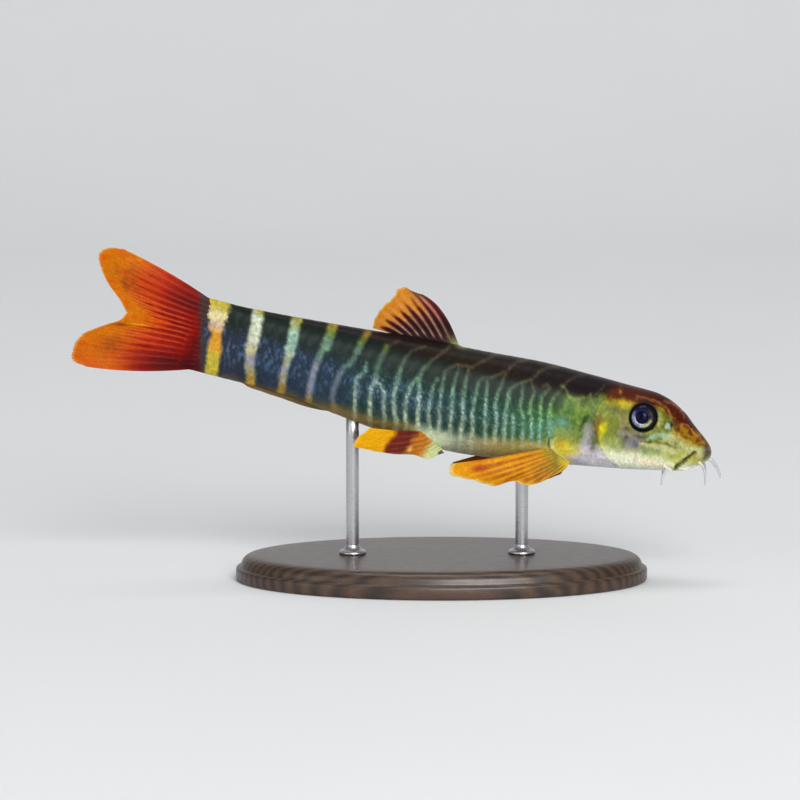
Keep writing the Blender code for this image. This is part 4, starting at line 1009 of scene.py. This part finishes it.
def make_fin(name, lobes, rays, paint, finish, nodes, parting=1.0, swell=0.0, inner_shade=0.0):
    """A thin fin with raised, branching rays, that stands for the CAD nodes of that fin. Its face towards the
    body is made darker by inner_shade, as painted shade.
    """
    places, reach, across, ray = fin_grid(lobes, rays, parting)
    s, side, up = np.moveaxis(places, -1, 0)
    points = world(places)
    normals = unit(np.cross(np.gradient(points, axis=0), np.gradient(points, axis=1)))
    half = fin_half_thickness(reach, across, ray, swell)
    bend = FIN_WAVE * ripple(across * 9, reach * 3, 5.0, rays) * np.clip(reach, 0, 1)
    front, back = (points + normals * ((bend + way * half) * MM)[..., None] for way in (1, -1))
    outer = paint(reach, across, ray, s, up)
    # Painted shade: the face towards the body is the fin's colour darkened by the amount inner_shade.
    colours = [outer, mix(outer, ("fin_inner_shade", inner_shade + 0 * s))]
    if np.sum(normals * along_spine(SPINE_RIGHT, s) * np.sign(side)[..., None]) <= 0:
        colours.reverse()
    points = np.concatenate([front.reshape(-1, 3), back.reshape(-1, 3)])
    mesh = mesh_of(name, points, plate_faces(*reach.shape))
    orient(mesh)
    set_paint(mesh, np.concatenate([linear(np.clip(colour, 0, 1)).reshape(-1, 3) for colour in colours]))
    fin = add_object(name, mesh, finish)
    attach(fin, "root")
    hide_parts(*nodes)


def paint_dorsal(reach, across, ray, s, up):
    """Dark with pale rays, an amber margin that widens at the tip and behind, and a thin pale edge."""
    edge = reach + 0.1 * across + 0.24 * ray + 0.05 * ripple(s, up, 2.0, 4.0)
    margin = step(0.66, 0.92, edge) * step(0.14, 0.3, across)
    shown = ray * step(0.05, 0.2, reach) * step(1.02, 0.82, reach) * (0.85 + 0.2 * ripple(s, up, 1.6, 3.0))
    return mix(
        ramp(reach, (0.0, "dorsal_root"), (0.3, "dorsal_dark"), (0.65, "dorsal_red"), (1.0, "dorsal_brown")),
        ("dorsal_amber", 0.9 * margin),
        ("dorsal_ray", 0.75 * shown * step(0.0, 0.06, across) * (1 - 0.5 * margin)),
        ("dorsal_pink", 0.5 * shown * bump(reach - 0.55, 0.16) * step(0.3, 0.1, across)),
        ("edge_yellow", 0.7 * step(0.965, 0.99, reach) * step(0.2, 0.35, across)),
        ("pale_lime", 0.8 * bump(reach - 0.03, 0.12) * bump(across - 0.03, 0.14)),
    )


def paint_caudal(reach, across, ray, s, up):
    """Deep red at the root, then orange to an amber margin, with light rays and dark dashes between them."""
    lower = step(0.72, 1.0, across)
    dark = 0.6 * bump(across - 0.17, 0.10) * bump(reach - 0.1, 0.2)
    dark = dark + bump(across - 0.93, 0.10) * bump(reach - 0.2, 0.22)
    dark = dark + 0.7 * step(0.14, 0.0, reach) * step(0.45, 0.65, across)
    middle = bump(across - 0.5, 0.36)
    between = step(0.35, 0.05, ray) * (0.6 + 0.6 * ripple(s * 0.4, up, 1.6, 2.0))
    cloud = bump(reach - 0.72, 0.10) * (bump(across - 0.22, 0.10) + 0.8 * bump(across - 0.8, 0.08))
    # A narrow line along a fold near the fork of the lower lobe, where a painted highlight goes.
    fold = bump(across - 0.545 - 0.04 * reach, 0.012) * step(0.5, 0.75, reach) * step(0.99, 0.9, reach)
    return mix(
        ramp(reach + 0.05 * ripple(s, up, 5.0, 1.0), (0.2, "tail_red"), (0.42, "tail_scarlet"),
             (0.62, "tail_orange"), (0.78, "tail_gold")),
        ("tail_red", 0.8 * lower * step(0.75, 0.35, reach)),
        ("tail_orange", 0.7 * lower * step(0.7, 0.85, reach)),
        ("tail_plum", dark),
        ("tail_ray", 0.6 * ray * step(0.02, 0.2, reach) * step(0.85, 0.6, reach) * middle),
        ("tail_dash", 0.85 * between * bump(reach - 0.42 - 0.1 * np.abs(2 * across - 1), 0.19) * middle),
        ("fin_brown", 0.6 * cloud * (0.7 + 0.5 * ripple(s, up, 1.3, 6.0))),
        ("tail_orange", 0.5 * spots(0.4 * s, up, 1.1, 8.0, 0.2, 0.8) * step(0.5, 0.75, reach)),
        ("tail_gold", 0.5 * bump(across - 0.45, 0.09) * step(0.5, 0.8, reach)),
        # Painted highlight along the fold, then painted shade as a dark dash beside it.
        ("pelvic_yellow", 0.95 * fold),
        ("tail_dash", 0.5 * bump(across - 0.60, 0.03) * bump(reach - 0.88, 0.1)),
        ("tail_edge", 0.6 * step(0.975, 0.995, reach)),
        ("root_grey", 0.85 * step(0.4, -0.3, s - TAIL_EDGE(up))),
        ("tail_edge", 0.5 * step(0.012, 0.002, across) * step(0.2, 0.5, reach)),
    )


def paint_pectoral(reach, across, ray, s, up):
    """Olive and yellow at the root, then gold with brown streaks along the rays."""
    streaks = ray * step(0.08, 0.25, reach) * step(0.98, 0.8, reach)
    return mix(
        ramp(s + 0.6 * ripple(s, up, 2.6, 1.0), (21.5, "paired_yellow"), (23.5, "fin_olive"),
             (26.5, "paired_ochre"), (30.0, "paired_gold")),
        ("fin_peach", 0.6 * step(0.45, 0.95, across) * step(0.3, 0.8, reach)),
        ("fin_olive", 0.5 * spots(s, up, 0.9, 7.0, 0.2, 0.7) * bump(s - 25.0, 2.2)),
        ("fin_brown", 0.8 * streaks * (0.8 + 0.3 * ripple(s, up, 1.8, 6.0)) * step(37.5, 35.0, s)),
        ("paired_orange", 0.4 * streaks),
        ("tail_scarlet", 0.5 * bump(s - 35.2, 1.1) * bump(up + 8.9, 0.6)),
        ("fin_cream", 0.8 * step(0.95, 0.99, reach)),
    )


def paint_pelvic(reach, across, ray, s, up):
    """Bands across the fish: cream, brown, maroon and yellow."""
    place = s + 0.25 * ripple(s, up, 1.6, 3.0) + 0.3 * (up + 8.5)
    return mix(
        ramp(place, (42.5, "pelvic_pale"), (43.9, "pelvic_brown"), (45.4, "pelvic_brown"),
             (46.2, "pelvic_maroon"), (48.5, "pelvic_maroon"), (49.2, "pelvic_yellow")),
        ("fin_brown", 0.35 * ray * step(44.0, 45.0, s) * step(49.5, 48.5, s)),
        ("paired_gold", 0.6 * spots(0.25 * s, up, 1.1, 5.0, 0.3, 0.8) * step(49.0, 50.0, s)),
        # A small pale spot, a painted highlight on the fin.
        ("fin_cream", 0.9 * bump(np.hypot(s - 45.6, 0.7 * (up + 8.9)), 0.3)),
        ("fin_cream", 0.5 * step(0.96, 0.99, reach)),
    )


def paint_anal(reach, across, ray, s, up):
    stops = ((0.0, "belly_olive"), (0.5, "tail_belly"), (0.88, "tail_belly"), (1.0, "tail_belly_red"))
    return mix(ramp(reach, *stops), ("belly_olive", 0.4 * ray))


def make_fins(finish):
    upper = (UPPER_LOBE_BASE, UPPER_LOBE_MIDDLE, UPPER_LOBE_MARGIN)
    lower = (LOWER_LOBE_BASE, LOWER_LOBE_MIDDLE, LOWER_LOBE_MARGIN)
    dorsal = (DORSAL_BASE, DORSAL_MIDDLE, DORSAL_MARGIN)
    anal = (ANAL_BASE, ANAL_MIDDLE, ANAL_MARGIN)
    pectoral = (PECTORAL_BASE, PECTORAL_MIDDLE, PECTORAL_MARGIN)
    pelvic = (PELVIC_BASE, PELVIC_MIDDLE, PELVIC_MARGIN)
    nodes = ("caudal_fin_upper_lobe", "caudal_fin_lower_lobe")
    make_fin("caudal_fin", (upper, lower), CAUDAL_RAYS, paint_caudal, finish, nodes, swell=ROOT_SWELL)
    make_fin("dorsal_fin_skin", (dorsal,), DORSAL_RAYS, paint_dorsal, finish, ("dorsal_fin",), DORSAL_PARTING)
    make_fin("anal_fin_skin", (anal,), ANAL_RAYS, paint_anal, finish, ("anal_fin",))
    # The last number of each pair is how much painted shade darkens the fins' faces towards the body.
    pairs = (
        ("pectoral_fin", pectoral, PECTORAL_RAYS, paint_pectoral, 0.65),
        ("pelvic_fin", pelvic, PELVIC_RAYS, paint_pelvic, 0.3),
    )
    for name, lines, rays, paint, dark in pairs:
        for side, shape in (("right", lines), ("left", held_in(lines))):
            node = f"{name}_{side}"
            make_fin(f"{node}_skin", (shape,), rays, paint, finish, (node,), PAIRED_PARTING, inner_shade=dark)


def held_in(lines):
    """A left paired fin's lines: the right one's mirrored, held closer in, folded and lower at the margin."""
    held = [mirrored(lines[0])]
    for line, share in ((mirrored(lines[1]), 0.5), (mirrored(lines[2]), 1.0)):
        s, side, up = line.T
        up = up[0] + HELD_FOLD * (up - up[0]) + HELD_DROOP * share * side
        held.append(np.stack([s - HELD_SHORTER * share, side * (1 - share * (1 - HELD_IN)), up], axis=1))
    return held


# Barbels and eyes

BARBEL_ROWS = 48
BARBEL_COLUMNS = 20
BARBEL_SUNK = 0.6


def tube_points(line, radii, columns):
    """Rings round a line of points, with one radius each."""
    tangents = unit(np.gradient(line, axis=0))
    across = unit(np.cross(tangents, (0.0, 0.9, 0.44)))
    other = np.cross(tangents, across)
    turn = around(columns)[None, :, None]
    outward = across[:, None] * np.cos(turn) + other[:, None] * np.sin(turn)
    return line[:, None] + outward * radii[:, None, None]


def make_barbels(finish):
    t = np.linspace(0, 1, BARBEL_ROWS)
    radii = BARBEL_ROOT_RADIUS + (BARBEL_TIP_RADIUS - BARBEL_ROOT_RADIUS) * t ** 0.85
    radii *= (1 + 0.5 * bump(t, 0.13)) * (1 + 0.03 * np.sin(t * 60))
    radii *= np.sqrt(np.clip((1.004 - t) / 0.03, 0, 1))
    colours = linear(ramp(t, (0.0, "lip_yellow"), (0.18, "cheek_cream"), (0.45, "barbel_pale")))
    for name, line in BARBELS.items():
        first, second = np.array(line[:2])
        right = [first - BARBEL_SUNK * unit(second - first), *line]
        for side, places in (("right", right), ("left", mirrored(right))):
            rings = tube_points(world(smooth_line(places, BARBEL_ROWS)) / MM, radii, BARBEL_COLUMNS) * MM
            node = f"barbel_{name}_{side}"
            mesh = closed_tube(f"{node}_skin", rings)
            paint_tube(mesh, np.repeat(colours, BARBEL_COLUMNS, axis=0))
            barbel = add_object(f"{node}_skin", mesh, finish)
            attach(barbel, "root")
            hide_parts(node)


PUPIL_RADIUS = 0.93
IRIS_RADIUS = 1.72
EYE_ROWS = 110
EYE_COLUMNS = 128
GAZE_SHIFT = (0.2, 0, 0)  # how far back the pupil looks


def eye_colour(away, turn, low, front):
    """A navy pupil, a dark iris that is silver behind and below and greenish in front, and a dark rim."""
    fibres = 0.12 * np.sin(turn * 19 + 3 * np.sin(turn * 5)) + 0.08 * np.sin(turn * 43 + away * 5)
    glow = 0.08 + 0.92 * step(0.1, 0.9, 0.85 * low - 0.45 * front)
    iris = mix(
        np.zeros((*away.shape, 3)) + srgb("iris_dark"),
        ("iris_brown", 0.8 * step(0.2, 0.9, front) * bump(away - 1.5, 0.3)),
        ("iris_silver", 0.85 * step(0.0, 0.8, 0.6 * low - 0.75 * front) * bump(away - 1.42, 0.24)),
        ("iris_lime", 0.9 * step(0.5, 0.9, 0.75 * low + 0.6 * front) * bump(away - 1.38, 0.24)),
        ("iris_ring", glow * bump(away - 1.12, 0.12)),
    )
    return mix(
        iris * (1 + fibres[..., None]),
        ("orbit_dark", step(IRIS_RADIUS - 0.15, IRIS_RADIUS + 0.1, away)),
        ("pupil", step(PUPIL_RADIUS + 0.06, PUPIL_RADIUS - 0.04, away)),
    )


def make_eyes(finish):
    polar, turn = np.meshgrid(np.linspace(0, math.pi, EYE_ROWS), around(EYE_COLUMNS), indexing="ij")
    ahead, below = np.cos(turn), np.sin(turn)
    away = EYE_RADIUS * np.where(polar > math.pi / 2, 2, np.sin(polar))
    radius = EYE_RADIUS + 0.05 * step(PUPIL_RADIUS + 0.3, PUPIL_RADIUS - 0.3, away) * (polar < 1)
    colours = linear(np.clip(eye_colour(away, turn, below, ahead), 0, 1))
    for side, sign in (("right", 1), ("left", -1)):
        centre, axis = eye_axis(sign)
        gaze = unit(axis * EYE_RADIUS + GAZE_SHIFT)
        front = unit(gaze * gaze[0] - (1, 0, 0))
        low = np.cross(front, gaze)
        low *= -np.sign(low[2])
        flat = ahead[..., None] * front + below[..., None] * low
        spread = np.cos(polar)[..., None] * gaze + np.sin(polar)[..., None] * flat
        mesh = closed_tube(f"eye_{side}_glossy", world(centre + spread * radius[..., None])[1:-1])
        paint_tube(mesh, colours[1:-1])
        eye = add_object(f"eye_{side}_glossy", mesh, finish)
        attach(eye, "root")
        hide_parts(f"eye_{side}")


# The stand

BASE_LENGTH = 64.0
BASE_WIDTH = 36.0
BASE_HEIGHT = 4.0
BASE_COLUMNS = 192
# The edge moulding of the base: how far in from the outline, and how high.
BASE_MOULDING = (
    (1.2, 0.0), (0.35, 0.0), (0.1, 0.15), (0.0, 0.45), (0.0, 1.7), (0.08, 1.95), (0.3, 2.1), (0.7, 2.15),
    (0.8, 2.3), (0.86, 2.7), (1.05, 3.15), (1.4, 3.55), (1.9, 3.82), (2.5, 3.96), (3.2, 4.0), (6.0, 4.0),
    (12.0, 4.0),
)
ROD_RADIUS = 1.0
ROD_START = 1.5  # above the base
ROD_SUNK = 1.5  # how far its top goes into the fish
ROD_RINGS = 6
ROD_COLUMNS = 48
# The collar at the foot of each rod: its radius, and how high above the base.
COLLAR = (
    (0.95, 0.0), (2.1, 0.0), (2.1, 0.35), (1.95, 0.55), (1.6, 0.65), (1.35, 0.8), (1.2, 1.1), (1.0, 1.4),
)


def make_stand_base(finish):
    turn = around(BASE_COLUMNS)
    inset, height = np.array(BASE_MOULDING).T[..., None]
    x, y = (BASE_LENGTH / 2 - inset) * np.cos(turn), (BASE_WIDTH / 2 - inset) * np.sin(turn)
    mesh = closed_tube("stand_base_wood", np.stack([x, y, height + 0 * turn], axis=-1) * MM)
    base = add_object("stand_base_wood", mesh, finish)
    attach(base, "root")
    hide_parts("stand_base")


def make_stand_rods(finish):
    turn = around(ROD_COLUMNS)
    for name, s in STAND_RODS.items():
        x, y, spine = world((s, 0, 0)) / MM
        top = spine - BOTTOM(s) + ROD_SUNK
        shaft = [(ROD_RADIUS, height) for height in np.linspace(ROD_START, top - BASE_HEIGHT, ROD_RINGS)]
        radius, height = np.array([*COLLAR, *shaft]).T[..., None]
        rings = [x + radius * np.cos(turn), y + radius * np.sin(turn), BASE_HEIGHT + height + 0 * turn]
        mesh = closed_tube(f"stand_rod_{name}_steel", np.stack(rings, axis=-1) * MM)
        rod = add_object(f"stand_rod_{name}_steel", mesh, finish)
        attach(rod, "root")
        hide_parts(f"stand_rod_{name}")


# Materials

class Finish:
    """A material, and the nodes that feed its shader."""

    def __init__(self, name, values):
        self.material = bpy.data.materials.new(name)
        self.material.use_nodes = True
        self.tree = self.material.node_tree
        self.shader = self.tree.nodes["Principled BSDF"]
        for socket, value in values.items():
            self.shader.inputs[socket].default_value = value

    def node(self, kind, output, inputs, **settings):
        """One output of a new node. An input is a number, a colour or another node's output."""
        made = self.tree.nodes.new(kind)
        for key, value in settings.items():
            setattr(made, key, value)
        for socket, value in inputs.items():
            if isinstance(value, bpy.types.NodeSocket):
                self.tree.links.new(value, made.inputs[socket])
            else:
                made.inputs[socket].default_value = value
        return made.outputs[output]

    def feed(self, socket, output):
        self.tree.links.new(output, self.shader.inputs[socket])

    def millimetres(self, scale=(1, 1, 1)):
        """The object's own coordinates in millimetres, times a scale on each axis."""
        place = self.node("ShaderNodeTexCoord", "Object", {})
        scale = tuple(value / MM for value in scale)
        return self.node("ShaderNodeMapping", "Vector", {"Vector": place, "Scale": scale})

    def noise(self, vector, scale, detail=3.0, roughness=0.55):
        values = {"Vector": vector, "Scale": scale, "Detail": detail, "Roughness": roughness}
        return self.node("ShaderNodeTexNoise", "Fac", values)

    def remap(self, value, to_low, to_high, low=0.3, high=0.7):
        """A number that goes from to_low to to_high while the value goes from low to high."""
        values = {"Value": value, "From Min": low, "From Max": high, "To Min": to_low, "To Max": to_high}
        return self.node("ShaderNodeMapRange", "Result", values)

    def maths(self, operation, a, b):
        return self.node("ShaderNodeMath", "Value", {0: a, 1: b}, operation=operation)

    def between(self, factor, a, b):
        """A colour from a to b."""
        return self.node("ShaderNodeMix", "Result", {"Factor": factor, "A": a, "B": b}, data_type="RGBA")

    def paint(self):
        return self.node("ShaderNodeAttribute", "Color", {}, attribute_name="paint")

    def colour(self, colour, *grains):
        """Sets the colour, made darker and lighter by grains: each a noise and the factors that it gives."""
        for grain in grains:
            values = {0: colour, "Scale": self.remap(*grain)}
            colour = self.node("ShaderNodeVectorMath", "Vector", values, operation="SCALE")
        self.feed("Base Color", colour)

    def rough(self, grain, low, high):
        self.feed("Roughness", self.remap(grain, low, high))

    def relief(self, height, distance, strength):
        values = {"Height": height, "Distance": distance * MM, "Strength": strength}
        self.feed("Normal", self.node("ShaderNodeBump", "Normal", values))


def skin_finish():
    """Wet scaleless skin: the paint with fine grains, a soft sheen of slime and faint pits."""
    skin = Finish("wet_skin", {
        "IOR": 1.17, "Coat Weight": 0.09, "Coat Roughness": 0.2, "Coat IOR": 1.33,
        "Subsurface Weight": 0.08, "Subsurface Radius": (1.0, 0.7, 0.5), "Subsurface Scale": 0.0006,
    })
    place = skin.millimetres()
    grain = skin.noise(place, 4.2, 2.0)
    streak = skin.noise(skin.millimetres((1.5, 1.5, 0.55)), 2.4)
    cloud = skin.noise(place, 0.7)
    skin.colour(skin.paint(), (grain, 0.9, 1.1), (streak, 0.82, 1.18), (cloud, 0.9, 1.1))
    skin.rough(streak, 0.34, 0.52)
    skin.relief(skin.noise(place, 3.4), 0.12, 0.3)
    return skin.material


def fin_finish():
    """Thin fin skin: the paint with fine grains and a satin sheen that lets a little light through."""
    fin = Finish("fin_membrane", {
        "IOR": 1.13, "Coat Weight": 0.03, "Coat Roughness": 0.2,
        "Subsurface Weight": 0.12, "Subsurface Radius": (1.0, 0.6, 0.3), "Subsurface Scale": 0.0006,
    })
    place = fin.millimetres()
    grain = fin.noise(place, 3.6)
    fin.colour(fin.paint(), (grain, 0.84, 1.16), (fin.noise(place, 1.1, 2.0), 0.9, 1.1))
    fin.rough(grain, 0.38, 0.52)
    fin.relief(grain, 0.05, 0.4)
    return fin.material


def barbel_finish():
    barbel = Finish("barbel_skin", {
        "IOR": 1.40, "Coat Weight": 0.4, "Coat Roughness": 0.2,
        "Subsurface Weight": 0.3, "Subsurface Radius": (1.0, 0.7, 0.5), "Subsurface Scale": 0.0005,
    })
    grain = barbel.noise(barbel.millimetres(), 5.0, 2.0)
    barbel.colour(barbel.paint(), (grain, 0.88, 1.1))
    barbel.rough(grain, 0.34, 0.46)
    barbel.relief(grain, 0.04, 0.4)
    return barbel.material


def eye_finish():
    """Glossy eye: the paint under a hard clear coat."""
    eye = Finish("eye_gloss", {"IOR": 1.12, "Coat Weight": 0.25, "Coat Roughness": 0.03, "Coat IOR": 1.33})
    grain = eye.noise(eye.millimetres(), 9.0, 2.0)
    eye.colour(eye.paint(), (grain, 0.85, 1.15))
    eye.rough(grain, 0.22, 0.34)
    return eye.material


def wood_finish():
    """Dark stained wood with grain along the base and a satin varnish."""
    wood = Finish("stained_wood", {"IOR": 1.46, "Coat Weight": 0.35, "Coat Roughness": 0.22})
    rings = wood.node("ShaderNodeTexWave", "Fac", {
        "Vector": wood.millimetres((0.16, 1.0, 1.0)), "Scale": 0.26, "Distortion": 7.0, "Detail": 3.0,
        "Detail Scale": 0.7,
    }, wave_type="BANDS", bands_direction="Y")
    warp = wood.noise(wood.millimetres((0.05, 0.22, 0.22)), 1.0, 2.0)
    pores = wood.noise(wood.millimetres((0.5, 7.0, 7.0)), 1.0, 3.0, 0.7)
    shade = wood.maths("ADD", wood.maths("MULTIPLY", rings, 0.65), wood.maths("MULTIPLY", warp, 0.35))
    tones = wood.node("ShaderNodeValToRGB", "Color", {"Fac": shade})
    stops = ((0.2, (0.022, 0.011, 0.006, 1)), (0.85, (0.075, 0.038, 0.019, 1)))
    for element, (position, colour) in zip(tones.node.color_ramp.elements, stops):
        element.position = position
        element.color = colour
    wood.colour(tones, (pores, 0.65, 1.1, 0.35, 0.6))
    wood.rough(pores, 0.48, 0.32)
    wood.relief(pores, 0.08, 0.35)
    return wood.material


def steel_finish():
    steel = Finish("brushed_steel", {"Metallic": 1.0, "Anisotropic": 0.4})
    scratches = steel.noise(steel.millimetres((1.0, 1.0, 14.0)), 1.2, 3.0, 0.6)
    steel.colour(steel.between(scratches, (0.42, 0.42, 0.44, 1), (0.62, 0.62, 0.64, 1)))
    steel.rough(scratches, 0.22, 0.40)
    steel.relief(scratches, 0.02, 0.4)
    return steel.material


def floor_finish():
    floor = Finish("pale_floor", {"IOR": 1.3})
    cloud = floor.noise(floor.millimetres(), 0.012, 2.0)
    floor.colour(floor.between(cloud, (0.76, 0.77, 0.78, 1), (0.79, 0.80, 0.81, 1)))
    floor.rough(cloud, 0.75, 0.85)
    return floor.material


# The stage, the lights and the camera

CAMERA_ELEVATION = 8.0
CAMERA_DISTANCE = 600.0
MM_PER_PIXEL = 80 / 517
# Where X = 0 and the height of 22 mm above the stand's foot fall in the photograph.
SNOUT_LINE_PIXELS = (441.8, 439.4)
SENSOR = 36.0
CLIP_START = 0.01  # metres

# The floor in metres: its front edge, where it starts to sweep up, the sweep's radius, its top and its side.
FLOOR_FRONT = -1.6
FLOOR_END = 0.5
SWEEP = 0.5
BACKDROP_TOP = 2.4
FLOOR_SIDE = 2.2
FLOOR_ROWS = 12

FISH_MIDDLE = (0, 0, 0.025)
BACKDROP_MIDDLE = (0, 0.95, 0.3)
# Each light's place in metres, its side, its power in watts and what it points at.
LIGHTS = {
    "key": ((0.22, -0.82, 0.52), 0.5, 8.0, FISH_MIDDLE),
    "fill": ((-0.7, -0.6, 0.25), 0.6, 1.4, FISH_MIDDLE),
    "low_fill": ((0.15, -0.9, 0.08), 0.4, 0.9, FISH_MIDDLE),
    "backdrop_light": ((0.0, 0.2, 1.1), 0.6, 4.0, BACKDROP_MIDDLE),
}


def make_stage():
    """A floor that sweeps up into a backdrop behind the model."""
    turns = np.linspace(0.05, math.pi / 2, 24)
    sweep = [(FLOOR_END + SWEEP * math.sin(turn), SWEEP * (1 - math.cos(turn))) for turn in turns]
    outline = [(FLOOR_FRONT, 0.0), (FLOOR_END, 0.0), *sweep, (FLOOR_END + SWEEP, BACKDROP_TOP)]
    points = [(x, y, z) for x in np.linspace(-FLOOR_SIDE, FLOOR_SIDE, FLOOR_ROWS) for y, z in outline]
    count = len(outline)
    corners = [i * count + j for i in range(FLOOR_ROWS - 1) for j in range(count - 1)]
    faces = [(a, a + count, a + count + 1, a + 1) for a in corners]
    floor = add_object("floor", mesh_of("floor", points, faces), floor_finish())


def make_lights():
    """Soft square lights, and a dim pale world round them."""
    studio = bpy.data.worlds.new("studio")
    studio.use_nodes = True
    background = studio.node_tree.nodes["Background"]
    background.inputs["Color"].default_value = (0.97, 0.98, 1.0, 1)
    background.inputs["Strength"].default_value = 0.28
    bpy.context.scene.world = studio
    for name, (place, size, power, target) in LIGHTS.items():
        lamp = bpy.data.lights.new(name, "AREA")
        lamp.size = size
        lamp.energy = power
        obj = bpy.data.objects.new(name, lamp)
        bpy.context.scene.collection.objects.link(obj)
        obj.location = place
        obj.rotation_euler = (Vector(target) - Vector(place)).to_track_quat("-Z", "Y").to_euler()


def make_camera():
    tilt = math.radians(CAMERA_ELEVATION)
    column, row = SNOUT_LINE_PIXELS
    middle = PHOTO_SIDE / 2
    height = SNOUT[2] + (row - middle) * MM_PER_PIXEL / math.cos(tilt)
    aim = Vector(((middle - column) * MM_PER_PIXEL, 0, height)) * MM
    lens = bpy.data.cameras.new("camera")
    lens.sensor_width = SENSOR
    lens.lens = SENSOR * CAMERA_DISTANCE / (PHOTO_SIDE * MM_PER_PIXEL)
    lens.clip_start = CLIP_START
    camera = bpy.data.objects.new("camera", lens)
    bpy.context.scene.collection.objects.link(camera)
    away = Vector((0, -math.cos(tilt), math.sin(tilt)))
    camera.location = aim + away * CAMERA_DISTANCE * MM
    camera.rotation_euler = (-away).to_track_quat("-Z", "Y").to_euler()
    bpy.context.scene.camera = camera


make_skin(skin_finish())
make_fins(fin_finish())
make_barbels(barbel_finish())
make_eyes(eye_finish())
make_stand_base(wood_finish())
make_stand_rods(steel_finish())
make_stage()
make_lights()
make_camera()
bpy.context.scene.view_settings.view_transform = "Standard"
